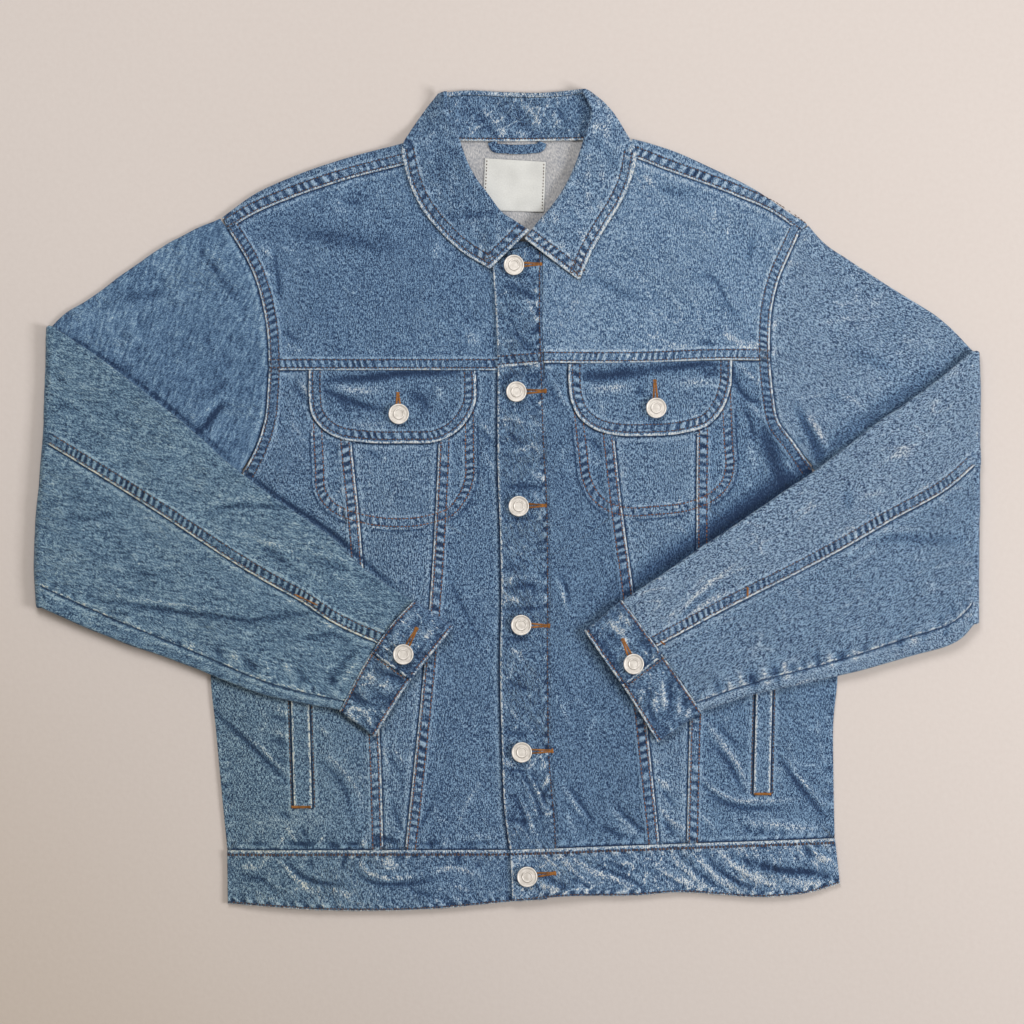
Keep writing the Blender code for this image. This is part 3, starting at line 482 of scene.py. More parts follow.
# How much the puckers of a kind lean from straight across, per millimetre across; others lean by 0.05.
LEANS = {"sleeve": 0.045, "felled": 0.03, "underarm": 0.02, "side": 0.02}


def trimmed(x, y, trims):
    """What the seams of a piece do to it: height, distance, rows, pucker phase and strength.

    Each point goes with the seam whose band it is in, or else the nearest. A band stands
    proud by its height from the edge to its width, sinks along its stitches, and is puckered
    between them by a wave that runs along the seam unevenly.
    """
    best = np.full(x.shape, 1e9)
    found = {name: np.zeros(x.shape) for name in ("phase", "rope", "lift", "pale", "ridge", "groove", "fold")}
    found.update({name: np.full(x.shape, value) for name, value in
                  (("edge", FAR), ("row1", NONE), ("row2", NONE))})
    for kind, line in trims:
        k = KINDS[kind]
        gap, side, run = nearest(line, x, y)
        d = gap * side if kind in SIGNED else gap
        key = np.abs(d - 4) - (30 if kind != "pocket" else 0) * ((d > -0.5) & (d < k["wide"] + 1))
        mine = key < best
        best = np.where(mine, key, best)
        start = line[0][0] / 7 + line[0][1] / 5
        uneven = np.sin(run / 19 + start) + 0.8 * np.sin(run / 8.7 + 2 * start) + 0.4 * np.sin(run / 3.9)
        phase = run / k["period"] + 0.25 * uneven + LEANS.get(kind, 0.05) * d
        rope = k["rope"] * (0.60 + 0.28 * np.sin(run / 27 + start) + 0.26 * np.sin(run / 9.1 + start))
        lift = k["height"] * (1 - step((d - k["wide"]) / 2.6)) * step((d + 1.6) / 1.6)
        if kind in SIGNED:
            lift = lift + 0.3 * np.exp(-((d + 0.2) / 1.1) ** 2)
        if k["fold"]:
            lip = 0.16 * np.exp(-((d - 3.4) / 1.8) ** 2) - 0.35 * np.exp(-(d / 1.3) ** 2)
            lift = lift + k["groove"] * lip
            window = 0.8 * k["fold"] * step(d / 1.5) * (1 - step((d - 2.5) / (k["period"] + 1)))
            pale = 0.0
        else:
            low, high = k["row1"], k["row2"]
            for row in (low, high):
                lift = lift - 0.24 * np.exp(-((d - row) / 0.9) ** 2)
            high = high if high > 0 else low + 5
            window = step((d - low) / 1.3) * step((high - d) / 1.3)
            pale = k["pale"] * window
            window = window + 0.35 * step((d - high) / 1.0) * (1 - step((d - high) / 7))
        lift = lift + 0.30 * rope * window * np.sin(2 * np.pi * phase)
        values = dict(k, phase=phase, rope=rope, lift=lift, edge=d, pale=pale)
        for name in found:
            found[name] = np.where(mine, values[name], found[name])
    found["edge"] = np.clip(found["edge"], -FAR, FAR)
    return found


def creased(x, y, table):
    """Soft ridges and troughs along listed lines, which fade towards their ends.

    A row of the table has the half width, the height, and x, y of each point of the line.
    """
    total = np.zeros(x.shape)
    for width, height, *points in table:
        points = np.reshape(points, (-1, 2))
        line = path(points, np.linspace(0, 1, 5 * len(points)))
        low, high = line.min(axis=0) - 2.6 * width, line.max(axis=0) + 2.6 * width
        near = (x > low[0]) & (x < high[0]) & (y > low[1]) & (y < high[1])
        if near.any():
            gap, _, run = nearest(line, x[near], y[near])
            share = run / run_of(line)[-1]
            fade = np.sin(np.pi * np.clip(share, 0.02, 0.98)) ** 0.6
            total[near] += height * np.exp(-(gap / width) ** 2) * fade
    return total


# ---- meshes ----
# How much more a piece is worn than its material says, or less.
WORN_MORE = {
    "yoke_front_left": 0.22, "collar_leaf_left": 0.22, "front_centre_left": -0.14, "front_band": -0.10,
    "front_side_left": -0.05, "front_centre_right": -0.03, "shoulder_left": 0.10,
    "flap_right": -0.05, "front_middle_right": 0.06, "front_middle_left": 0.05, "waistband_left": 0.12,
    "collar_band": -0.06, "cuff_right": -0.12, "cuff_left": -0.12, "sleeve_top_left": 0.14,
}
# The strength of a piece's grain, where it isn't 1.
GRAIN = {
    "yoke_front_right": 0.80, "yoke_front_left": 0.84, "front_middle_right": 1.1, "front_middle_left": 1.1,
}
PIECES = {}  # name: points that stitches lie on, and their normals
COARSE = 4  # spans of the outer side to one of the inner side


def spans(length, spacing):
    """How many spans of about the spacing fill a length, as a multiple of the coarse step."""
    return max(1, int(round(length / (spacing * FINENESS * COARSE)))) * COARSE


def linked(name, data):
    """A new object of the data, in the scene."""
    made = bpy.data.objects.new(name, data)
    bpy.context.scene.collection.objects.link(made)
    return made


def normals_of(points):
    """Unit normals of a grid of points, to the left-hand turn from its columns to its rows."""
    return unit(np.cross(np.gradient(points, axis=1), np.gradient(points, axis=0)))


def facing_up(points, row, col):
    """The grid, with its columns the other way round if it faces down at a place."""
    return points[:, ::-1] if normals_of(points)[row, col, 2] < 0 else points


def flat_size(points):
    """Greatest width and length along a grid, and its area, in metres."""
    wide, long = run_of(points, 1).max(), run_of(points, 0).max()
    a = np.cross(points[1:, 1:] - points[:-1, :-1], points[1:, :-1] - points[:-1, 1:])
    return wide * MM, long * MM, np.linalg.norm(a, axis=-1).sum() / 2 * MM * MM


def cloth(name, middle, finish, wall, uv, look, lip=RIM, nodes=(), slot="denim",
          declared=True):
    """A closed wall of cloth: a fine outer side, a rounded rim and a coarse inner side.

    The outer side is the middle surface moved along its normals by half the wall and the
    relief; the rim is a half round of three rows past the border; the inner side is the
    middle surface at every fourth row and column, moved back by half the wall. uv is the
    place on the cloth in millimetres; look has what trimmed gives, and how worn the cloth is, with painted
    shade.
    """
    rows, cols = middle.shape[:2]
    n = normals_of(middle)
    lift = look["lift"]
    outer = middle + n * (wall / 2 + lift)[..., None]
    back = (middle - n * wall / 2)[::COARSE, ::COARSE]
    loop_i = np.concatenate([np.zeros(cols - 1, int), np.arange(rows - 1),
                             np.full(cols - 1, rows - 1), np.arange(rows - 1, 0, -1)])
    loop_j = np.concatenate([np.arange(cols - 1), np.full(rows - 1, cols - 1),
                             np.arange(cols - 1, 0, -1), np.zeros(rows - 1, int)])
    border, upward = middle[loop_i, loop_j], n[loop_i, loop_j]
    run = np.roll(border, -1, axis=0) - np.roll(border, 1, axis=0)
    outward = unit(np.cross(run, upward))
    height = (wall / 2 + lift[loop_i, loop_j])[:, None]
    rims = [border + lip * np.sin(a) * outward
            + upward * np.cos(a) * (height if a < 1.6 else wall / 2)
            for a in np.radians([45, 90, 135])]
    count = len(loop_i)
    main = np.arange(rows * cols).reshape(rows, cols)
    rim = rows * cols + np.arange(3 * count).reshape(3, count)
    small = rows * cols + 3 * count + np.arange(back.shape[0] * back.shape[1]).reshape(back.shape[:2])
    rings = np.concatenate([main[loop_i, loop_j][None], rim])
    following = np.roll(rings, -1, axis=1)
    quads = [np.stack([main[:-1, :-1], main[:-1, 1:], main[1:, 1:], main[1:, :-1]], -1).reshape(-1, 4),
             np.stack([rings[:-1], rings[1:], following[1:], following[:-1]], -1).reshape(-1, 4),
             np.stack([small[:-1, :-1], small[1:, :-1], small[1:, 1:], small[:-1, 1:]], -1).reshape(-1, 4)]
    at = np.arange(0, count, COARSE)
    near = small[loop_i[at] // COARSE, loop_j[at] // COARSE]
    last = rings[3]
    fans = [last[(at + m) % count] for m in range(COARSE, 0, -1)]
    fans = np.stack([last[at], near, np.roll(near, -1), *fans], axis=-1)
    faces = np.concatenate(quads).tolist() + fans.tolist()
    points = np.concatenate([outer.reshape(-1, 3), *rims, back.reshape(-1, 3)])

    mesh = bpy.data.meshes.new(name)
    mesh.from_pydata((points * MM).tolist(), [], faces)
    mesh.shade_smooth()

    def spread(values):
        """Values of the grid for each point: outer side, three rows of the rim, inner side."""
        values = np.broadcast_to(values, (rows, cols))
        return np.concatenate([values.reshape(-1), *([values[loop_i, loop_j]] * 3),
                               values[::COARSE, ::COARSE].reshape(-1)])
    # the worn value also carries the painted shade of the creases' troughs and beside the forearms' edges
    look = dict(look, worn=look["wear_and_shade"] + look["pale"] + WORN_MORE.get(name, 0.0))
    for label, parts in (("trim", ("edge", "row1", "row2")), ("rope", ("phase", "rope", "worn")),
                         ("lap", ("ridge", "groove", "fold"))):
        values = np.stack([spread(look[part]) for part in parts], axis=-1).astype(np.float32)
        mesh.attributes.new(label, "FLOAT_VECTOR", "POINT").data.foreach_set("vector", values.ravel())
    inside = np.zeros(len(points))
    inside[rows * cols + 2 * count:] = wall < DOUBLE and slot == "denim"
    for label, values in (("inside", inside), ("grain", np.full(len(points), GRAIN.get(name, 1.0)))):
        mesh.attributes.new(label, "FLOAT", "POINT").data.foreach_set("value", values.astype(np.float32))
    place = np.stack([spread(uv[0]), spread(uv[1])], axis=-1) * MM
    corner = np.empty(len(mesh.loops), np.int32)
    mesh.loops.foreach_get("vertex_index", corner)
    mesh.uv_layers.new(name="cloth").data.foreach_set("uv", place[corner].astype(np.float32).ravel())
    mesh.materials.append(finish)
    made = linked(f"cloth_{name}", mesh)
    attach(made, "root")
    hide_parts(*(nodes or [name]))
    if declared:
        wide, long, area = flat_size(middle)
    PIECES[name] = (outer, normals_of(outer))
    return made


def whole_look(x, y, trims=(), wear_and_shade=0.0, lift=0.0):
    """The look of a piece: its seams, with further worn paleness and painted shade, and height."""
    look = trimmed(x, y, trims)
    look["lift"] = look["lift"] + lift
    look["wear_and_shade"] = np.broadcast_to(wear_and_shade, x.shape) + 0.0
    return look


def object_of(name, points, faces, finish, nodes=()):
    """A plain mesh object in the frame, of points in millimetres."""
    mesh = bpy.data.meshes.new(name)
    mesh.from_pydata((points * MM).tolist(), [], faces)
    mesh.materials.append(finish)
    mesh.shade_smooth()
    made = linked(name, mesh)
    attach(made, "root")
    if nodes:
        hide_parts(*nodes)
    return made


# ---- thread ----
def seated(name, x, y, above=0.0):
    """Points on the upper side of a piece at x, y, with the normals there, and which were found."""
    outer, normal = PIECES[name]
    keep = (normal[..., 2] > 0.25) & (outer[..., 2] > above)
    points, normal = outer[keep], normal[keep]
    at, up, found = [], [], []
    for part in np.array_split(np.arange(len(x)), max(1, len(x) // 128)):
        gap = (points[None, :, 0] - x[part, None]) ** 2 + (points[None, :, 1] - y[part, None]) ** 2
        i = np.argmin(gap, axis=1)
        n = normal[i]
        z = points[i, 2] - ((x[part] - points[i, 0]) * n[:, 0] + (y[part] - points[i, 1]) * n[:, 1]) / n[:, 2]
        at.append(np.stack([x[part], y[part], z], axis=-1))
        up.append(n)
        found.append(gap[np.arange(len(part)), i] < (2.2 * FINENESS) ** 2)
    return np.concatenate(at), np.concatenate(up), np.concatenate(found)


STITCHES = {}  # object name: stitches' centres, ways, normals, lengths


def sew(group, name, line, pitch=3.1, length=2.5, across=False, above=0.0):
    """Lays a row of stitches along a line on a piece, or across it, leaving out what lies past it."""
    line = np.asarray(line, float)
    along = run_of(line)
    count = int(along[-1] / pitch)
    if count < 1:
        return
    rng = np.random.default_rng(len(line) * 7 + count)
    at = (np.arange(count) + 0.5 + rng.uniform(-0.09, 0.09, count)) * along[-1] / count

    def on_piece(at):
        """What seated gives at distances along the line."""
        return seated(name, np.interp(at, along, line[:, 0]), np.interp(at, along, line[:, 1]), above)
    way = unit(on_piece(np.minimum(at + 1.2, along[-1]))[0] - on_piece(np.maximum(at - 1.2, 0))[0])
    middle, up, found = on_piece(at)
    if across:
        way = unit(np.cross(up, way))
    uneven = 0.25 if across else 0.0
    lengths = length * rng.uniform(1 - uneven, 1 + uneven, found.sum())
    STITCHES.setdefault(group, []).append((middle[found], way[found], up[found], lengths))


def stitch_objects(finishes):
    """Each stitch as a six-sided grain of thread: two tips and two rings of four points."""
    for group, rows in STITCHES.items():
        middle, way, up, length = [np.concatenate(part) for part in zip(*rows)]
        aside = unit(np.cross(up, way))
        middle = middle + up * (THREAD_RADIUS * 0.6 - THREAD_SUNK)
        rng = np.random.default_rng(len(middle))
        turn = rng.uniform(-0.16, 0.16, len(middle))[:, None]
        way = way * np.cos(turn) + aside * np.sin(turn)
        half = (length / 2)[:, None]
        rings = [(middle - way * half - up * 0.3)[:, None]]
        for end in (-0.62, 0.62):
            ring = [middle + way * half * end + THREAD_RADIUS * (aside * c + up * s * 0.8)
                    for c, s in ((1, 0), (0, 1), (-1, 0), (0, -1))]
            rings.append(np.stack(ring, axis=1))
        rings.append((middle + way * half - up * 0.3)[:, None])
        points = np.concatenate(rings, axis=1)
        pattern = [(0, 2, 1), (0, 3, 2), (0, 4, 3), (0, 1, 4)]
        pattern += [(1 + m, 1 + (m + 1) % 4, 5 + (m + 1) % 4, 5 + m) for m in range(4)]
        pattern += [(9, 5 + m, 5 + (m + 1) % 4) for m in range(4)]
        base = 10 * np.arange(len(points))[:, None]
        faces = sum([(base + np.array(face)[None]).tolist() for face in pattern], [])
        object_of(f"thread_{group}", points.reshape(-1, 3), faces, finishes[group.split("_")[0]])


# ---- listed creases: half width, height, then x, y of each point that one runs through ----
# Where a piece's colour follows these creases, a trough is darkened as painted shade and a crest paled as
# worn cloth.
BODY_CREASES = [
    (7, -0.3, -184, 222, -147, 218, -114, 212, -92, 207), (1.8, -0.55, -194, 208, -191, 188, -188, 167),
    (3, 0.4, -204, 215, -195, 197), (4, 0.35, -147, 252, -129, 237),
    (2.2, -0.35, -141, 249, -129, 246, -119, 245), (2, 0.45, -186, 134, -179, 125, -167, 123),
    (2, -0.4, -184, 139, -172, 129), (5, 0.4, -56, 215, -61, 197), (4, 0.4, -31, 140, -23, 122),
    (2, -0.75, -243, -177, -222, -196, -199, -218, -180, -237),
    (1.6, 0.6, -222, -191, -197, -214, -180, -232), (2, -0.45, -196, -180, -180, -185),
    (2, 0.45, -195, -174, -180, -178), (2, -0.45, -196, -198, -181, -206),
    (2, 0.45, -196, -192, -180, -198), (2, -0.4, -195, -214, -181, -219),
    (7, 0.3, -214, -268, -185, -268, -147, -265),
    # The next row darkens a band beside the left forearm's upper edge, a painted shadow of the forearm; the
    # row after it is a thin painted shadow line beside the right forearm's upper edge.
    (9, -0.75, 290, 56, 258, 32, 199, -8, 150, -41, 104, -72, 84, -88),
    (1.8, -0.9, -232, 34, -189, 1, -147, -27, -112, -58, -84, -82),
    (2.2, -0.9, -182, -285, -170, -287, -158, -286), (1.6, 0.7, -157, -287, -152, -279),
    (2, -0.8, -150, -287, -138, -288), (2, -0.8, -134, -286, -123, -288),
    (1.6, 0.7, -121, -289, -116, -279), (2.2, -0.9, -114, -286, -103, -282, -90, -286),
    (1.6, 0.6, -189, -288, -186, -279), (2, -0.7, -212, -286, -198, -287), (2, -0.7, -70, -287, -56, -286),
    (1.6, 0.5, -53, -288, -48, -280), (2.2, -0.6, -190, -260, -179, -265),
    (2, 0.55, -184, -271, -174, -287), (1.8, -0.45, -172, -268, -165, -285),
    (1.5, 0.55, -157, -187, -146, -200), (1.5, 0.6, -156, -209, -139, -223, -124, -243, -119, -260),
    (1.8, -0.45, -155, -218, -137, -237, -129, -260), (1.4, 0.45, -129, -221, -116, -242),
    (1.4, 0.4, -97, -203, -82, -225), (1.6, -0.35, -99, -213, -87, -230),
    (1.8, -0.45, -96, -250, -86, -280), (2, -0.4, -43, -288, -13, -285), (2, 0.4, -41, -281, -6, -280),
    (1.6, -0.45, -117, 42, -104, 31), (1.5, 0.45, -174, 100, -162, 82), (1.5, -0.4, -179, 99, -167, 79),
    (1.6, 0.4, -180, 66, -165, 44), (1.6, 0.35, -175, 41, -164, 24), (1.5, 0.5, -22, 66, -13, 52),
    (1.6, -0.45, -23, 57, -9, 44), (1.5, 0.4, -23, 41, -9, 24),
    (1.8, -0.5, 155, 185, 170, 184, 178, 173, 183, 162, 195, 149),
    (2.5, -0.3, 62, 185, 82, 178, 102, 168, 118, 165), (2, 0.4, 123, 137, 133, 129, 152, 127),
    (1.8, -0.6, 160, 132, 173, 127), (3, 0.55, 178, 140, 195, 129, 210, 127),
    (1.8, 0.5, 113, 270, 123, 258), (4, -0.35, 123, 258, 152, 253), (3, -0.3, 206, 223, 200, 197),
    (2, -0.7, 187, 110, 191, 95, 198, 85, 213, 79), (1.8, 0.6, 191, 112, 203, 102, 210, 94),
    (1.8, 0.45, 200, 81, 213, 67), (1.8, -0.5, 195, 79, 203, 61, 206, 44),
    (6, -0.7, 211, 62, 218, 44, 228, 12), (3, 0.4, 201, 49, 206, 24), (2.2, 0.45, 231, 31, 243, 17),
    (1.5, 0.5, 38, 99, 45, 85, 52, 74), (1.6, -0.4, 34, 95, 42, 79), (1.5, 0.4, 32, 115, 37, 105),
    (1.5, -0.45, 69, 49, 80, 39), (2.2, 0.75, 163, -183, 178, -202, 191, -220, 201, -243),
    (2, -0.6, 170, -203, 183, -218, 195, -242), (2, -0.45, 173, -185, 193, -207),
    (1.8, 0.65, 157, -223, 170, -240, 188, -249, 216, -251, 243, -248),
    (2.2, -0.55, 160, -235, 173, -248, 193, -256, 226, -256),
    (2, -0.7, 225, -213, 240, -235, 253, -251, 266, -268), (1.6, 0.5, 231, -213, 248, -237, 265, -256),
    (3.5, 0.55, 193, -268, 226, -271, 265, -275), (1.8, -0.5, 197, -270, 201, -278),
    (1.8, -0.5, 210, -271, 213, -281), (1.8, -0.45, 226, -270, 230, -281), (1.6, 0.5, 123, -230, 137, -243),
    (1.6, -0.45, 125, -238, 140, -255), (1.8, 0.55, 127, -255, 137, -268, 152, -276),
    (1.8, -0.55, 128, -266, 140, -280), (1.8, 0.5, 49, -260, 57, -278), (1.8, -0.55, 57, -260, 70, -276),
    (1.8, -0.6, 77, -271, 95, -280), (1.6, 0.5, 90, -270, 107, -280), (1.8, 0.5, 160, -260, 173, -275),
    (1.7, 0.65, 44, -236, 55, -252, 69, -275), (1.6, -0.55, 50, -236, 61, -252, 74, -272),
    (1.8, 0.6, 84, -256, 97, -268, 111, -281), (1.6, -0.6, 91, -256, 104, -268, 116, -277),
    (1.5, 0.5, 40, -64, 46, -78, 49, -92), (1.5, -0.5, 44, -62, 50, -77, 53, -90),
    (1.5, 0.5, 38, -160, 47, -176, 52, -190), (1.6, -0.45, -50, -62, -38, -88, -24, -117),
    (1.6, 0.45, -20, -232, -32, -250, -41, -272), (1.6, -0.5, -60, -250, -70, -268, -76, -281),
]
UPPER_ARM_CREASES = [
    # The first row darkens a band beside the left forearm's upper edge and the second a thin line beside the
    # right one's: painted shadows of the forearms.
    (8, -0.7, 392, 127, 346, 96, 304, 67, 258, 34, 220, 6),
    (1.6, -0.9, -383, 147, -320, 107, -270, 68, -219, 24),
    (2.6, -0.6, -258, 212, -245, 193, -233, 177, -224, 164), (3, 0.4, -250, 212, -237, 195),
    (2.4, -1.2, -263, 52, -252, 60, -243, 71, -235, 81), (3.4, 0.6, -258, 66, -248, 76, -242, 85),
    (3, 0.5, -250, 49, -237, 62), (5, -0.4, -255, 79, -233, 102),
    (3.6, -1.2, 240, 76, 248, 62, 255, 47, 262, 29), (3, 0.7, 248, 72, 258, 56, 268, 41),
    (3, 0.6, 231, 49, 243, 37, 250, 31), (1.8, -0.8, 240, 49, 246, 48),
    (1.8, 0.35, 255, 144, 281, 149, 313, 152), (1.8, 0.4, 274, 90, 289, 81, 303, 72),
    (1.8, -0.35, 265, 89, 281, 79), (5, -0.35, 284, 124, 326, 105),
    (5, 0.35, -346, 140, -313, 155, -288, 157), (4, -0.35, -321, 165, -288, 173),
]
FOREARM_CREASES = [
    (1.8, -0.6, -375, 81, -363, 76, -353, 71),
    (2, -0.55, -258, -16, -233, -7, -199, -6, -172, -7, -144, -1), (1.8, 0.45, -255, -7, -225, 0, -189, 1),
    (2.2, -0.45, -373, -17, -346, -16, -323, -12),
    (2.4, -0.8, -356, -82, -330, -85, -297, -90, -255, -96, -214, -100, -172, -95, -142, -92),
    (2, 0.55, -338, -81, -297, -84, -255, -90, -222, -93), (1.8, 0.5, -197, -87, -175, -84, -147, -85),
    (3.4, -0.55, -204, -39, -192, -47, -179, -56), (2.4, 0.45, -214, -34, -189, -39, -172, -49),
    (2, 0.5, -258, -27, -238, -26, -214, -31, -189, -41), (2.2, 0.45, -172, -41, -147, -47, -122, -52),
    (2.4, -0.5, -164, -47, -142, -56, -129, -61), (2, 0.5, -371, 105, -351, 95, -338, 92),
    (2, -0.45, -376, 105, -363, 94), (2, 0.45, -346, 66, -330, 52, -315, 46),
    (2, -0.4, -341, 82, -321, 67, -302, 57), (1.8, 0.4, -313, -51, -288, -56, -263, -51),
    (1.8, -0.4, -315, -59, -288, -64), (1.8, 0.4, -371, -51, -351, -47), (1.8, 0.4, -238, -59, -217, -56),
    (2.4, -0.5, -172, -117, -147, -112, -129, -117), (2, 0.5, -167, -109, -142, -104, -126, -109),
    (2.4, -0.6, -147, -154, -134, -134, -126, -124), (2, 0.6, -142, -159, -129, -140, -121, -129),
    (2, -0.7, -275, -117, -270, -124), (3, -0.8, -242, -122, -237, -134), (3, 0.7, -265, -117, -258, -129),
    (3, 0.7, -228, -125, -222, -139), (3, -0.8, -217, -132, -209, -142), (3, 0.7, -204, -130, -195, -144),
    (2.6, 0.6, -185, -135, -179, -147), (2.6, -0.7, -172, -142, -167, -152),
    (2.6, -0.6, -147, -144, -142, -155), (3, -0.45, 301, -34, 326, -32, 351, -34, 379, -34),
    (2.4, 0.35, 306, -26, 343, -24), (4, -0.35, 281, 9, 284, -11),
    (1.8, 0.6, 132, -105, 140, -89, 153, -74, 167, -61),
    (1.8, 0.6, 137, -102, 152, -84, 173, -66, 193, -51), (1.8, -0.55, 135, -95, 147, -79, 160, -66),
    (1.6, 0.5, 143, -104, 163, -87, 185, -76), (1.8, -0.5, 140, -102, 158, -85, 178, -71),
    (3.4, -1.1, 201, -144, 206, -157), (2.4, -0.8, 221, -137, 225, -154), (2.2, -0.7, 235, -135, 239, -147),
    (2.2, -0.7, 245, -134, 248, -145), (2.2, -0.8, 256, -127, 259, -140), (3.2, -1, 274, -135, 281, -127),
    (2.4, -0.7, 294, -127, 299, -120), (2.2, -0.6, 313, -124, 316, -117), (2.8, -0.9, 323, -122, 329, -115),
    (2.2, -0.6, 344, -117, 349, -109), (2.2, -0.6, 362, -114, 366, -105), (2.4, 0.7, 211, -139, 216, -154),
    (2.2, 0.6, 230, -134, 232, -150), (2.2, 0.6, 266, -127, 270, -140), (2.2, 0.6, 286, -124, 289, -134),
    (2.2, 0.5, 336, -112, 339, -122), (2.4, 0.6, 191, -140, 195, -157), (2.6, -0.6, 173, -150, 178, -162),
    (2.2, 0.6, 182, -147, 186, -160),
]
WAIST_CREASES = [
    (2.2, 1, 173, -290, 183, -300, 203, -313, 228, -324),
    (3, -1.1, 188, -298, 210, -304, 233, -309, 253, -310, 271, -315),
    (2, 0.8, 155, -293, 165, -305, 177, -316, 190, -325),
    (2, -0.8, 163, -293, 173, -305, 191, -318, 211, -325), (2, 0.8, 118, -306, 137, -314, 162, -325),
    (1.8, -0.7, 107, -303, 127, -311, 148, -323), (1.8, 0.6, 137, -298, 152, -311, 165, -323),
    (1.8, -0.7, 147, -298, 160, -311, 178, -325), (2, 0.8, 46, -296, 55, -310, 70, -321),
    (2, 0.8, 59, -301, 74, -311, 90, -315, 105, -325), (1.8, -0.8, 49, -306, 60, -316, 70, -325),
    (1.8, -0.7, 64, -300, 82, -308, 100, -315, 118, -325), (1.8, -0.6, 80, -298, 94, -306, 110, -310),
    (2, 0.7, 253, -291, 261, -299, 271, -301), (2.4, -0.8, 248, -288, 253, -298),
    (2.4, -0.6, 22, -308, 40, -318, 57, -326), (2, 0.6, 27, -320, 44, -325),
    (2.4, 0.5, 226, -313, 251, -320, 271, -316), (2, 0.8, -187, -302, -175, -315, -160, -328),
    (2.2, -0.8, -185, -299, -175, -310, -162, -317, -134, -320),
    (2, 0.7, -125, -297, -116, -309, -94, -315, -72, -312),
    (2, -0.7, -129, -305, -117, -316, -89, -320, -56, -315), (2.4, 0.6, -64, -310, -43, -306, -23, -313),
    (2.2, -0.5, -222, -313, -204, -316, -192, -325), (2.4, 0.5, -222, -305, -204, -306),
    (2, -0.5, -134, -293, -136, -306), (2, -0.5, -163, -296, -162, -310), (3, 0.8, -106, -300, -89, -305),
    (2.6, -0.5, -43, -293, -38, -305), (2, 0.5, -147, -323, -129, -331), (2, -0.5, -82, -325, -59, -330),
    (2, 0.5, -48, -320, -28, -326),
]
BAND_CREASES = [
    (2.6, -0.5, -3, 178, 14, 172, 25, 165), (2.2, 0.45, 11, 165, 27, 162),
    (2.4, -0.5, 4, 140, 19, 125, 27, 122), (2, -0.6, 14, 104, 30, 101), (2.2, 0.5, 17, 110, 30, 112),
    (2, -0.55, 16, 82, 27, 82), (2, -0.5, -3, 100, 7, 105), (2.2, -0.5, 1, 57, 14, 44),
    (2.2, 0.45, 4, 39, 27, 46), (2, -0.6, -3, 11, 27, 10), (2.2, 0.5, 19, 21, 32, 17),
    (2, -0.6, -1, -17, 27, -16), (2.2, -0.4, -1, -51, 16, -61), (2, -0.6, -4, -74, 24, -72),
    (1.8, -0.45, 7, -66, 19, -72, 25, -82), (2.2, 0.5, -4, -84, 11, -84), (2, -0.6, -4, -92, 30, -90),
    (2.2, -0.6, -1, -115, 19, -117), (2.2, 0.45, 2, -125, 11, -130), (2.2, -0.4, 1, -150, 17, -159),
    (2, -0.5, -3, -192, 17, -197), (2, 0.5, -3, -220, 6, -220), (2, -0.6, -1, -225, 16, -225),
    (1.8, -0.6, 11, -225, 19, -240, 27, -260, 30, -271), (1.8, 0.55, 12, -233, 22, -251, 27, -268),
    (1.8, -0.5, 40, -232, 32, -243, 25, -255), (1.6, 0.5, 34, -230, 27, -245),
    (2.4, 0.6, 32, -255, 35, -266), (2.2, -0.5, 1, -266, 19, -268),
    (1.5, 0.75, 17, -229, 24, -240, 31, -258), (1.5, 0.7, 10, -249, 17, -262, 23, -282),
    (1.6, -0.6, 20, -228, 28, -242, 35, -262), (1.5, 0.6, 25, -208, 31, -222, 37, -245),
    (1.5, -0.6, 5, -244, 12, -259, 18, -279),
]


def trough_shade_crest_wear(placed, dark, pale, reach=1.0):
    """Colour of placed creases: troughs darker as painted shade and crests paler as worn cloth, each by its
    own strength.
    """
    return dark * np.clip(placed, -reach, 0) + pale * np.clip(placed, 0, reach)


def body_relief(x, y):
    """Height of the creases in the body's cloth, with thin worn lines, painted shade in the troughs and worn
    paleness on the crests.
    """
    soft = 0.20 * field(x, y, 60, 11) + 0.09 * field(x, y, 22, 12, angle=-0.9, stretch=1.8)
    lines = lines_in(field(x, y, 24, 13, angle=-0.95, stretch=2.6), 0.17)
    where = step(0.45 * field(x, y, 80, 14) + 0.25)
    placed = creased(x, y, BODY_CREASES)
    lift = soft + 0.16 * lines * where + 1.25 * placed
    lift = lift * (0.4 + 0.6 * step(side_distance(x, y) / 12))
    return np.clip(lift, -0.9, 1.2), 0.34 * lines * where + trough_shade_crest_wear(placed, 1.45, 1.05, 0.9)


# ---- body ----
def front_lines():
    """Each side's seams as lines."""
    return {
        side: {
            "armhole": fine(cornered(ARMHOLE_UPPER[side], ARMHOLE_LOWER[side], YOKE_END), 70),
            "yoke": fine(YOKE_SEAM[side]),
            "outer": fine(OUTER_PANEL_SEAM[side][::-1]),
            "inner": fine(INNER_PANEL_SEAM[side][::-1]),
            "shoulder": fine(SHOULDER_SEAM[side]),
            "waist": fine(WAIST_SEAM[side]),
            "pocket": fine(POCKET_BAG[side][::1 if side == "right" else -1], 90),
            "side": fine(SIDE_SEAM[side]),
        } for side in SIDES}


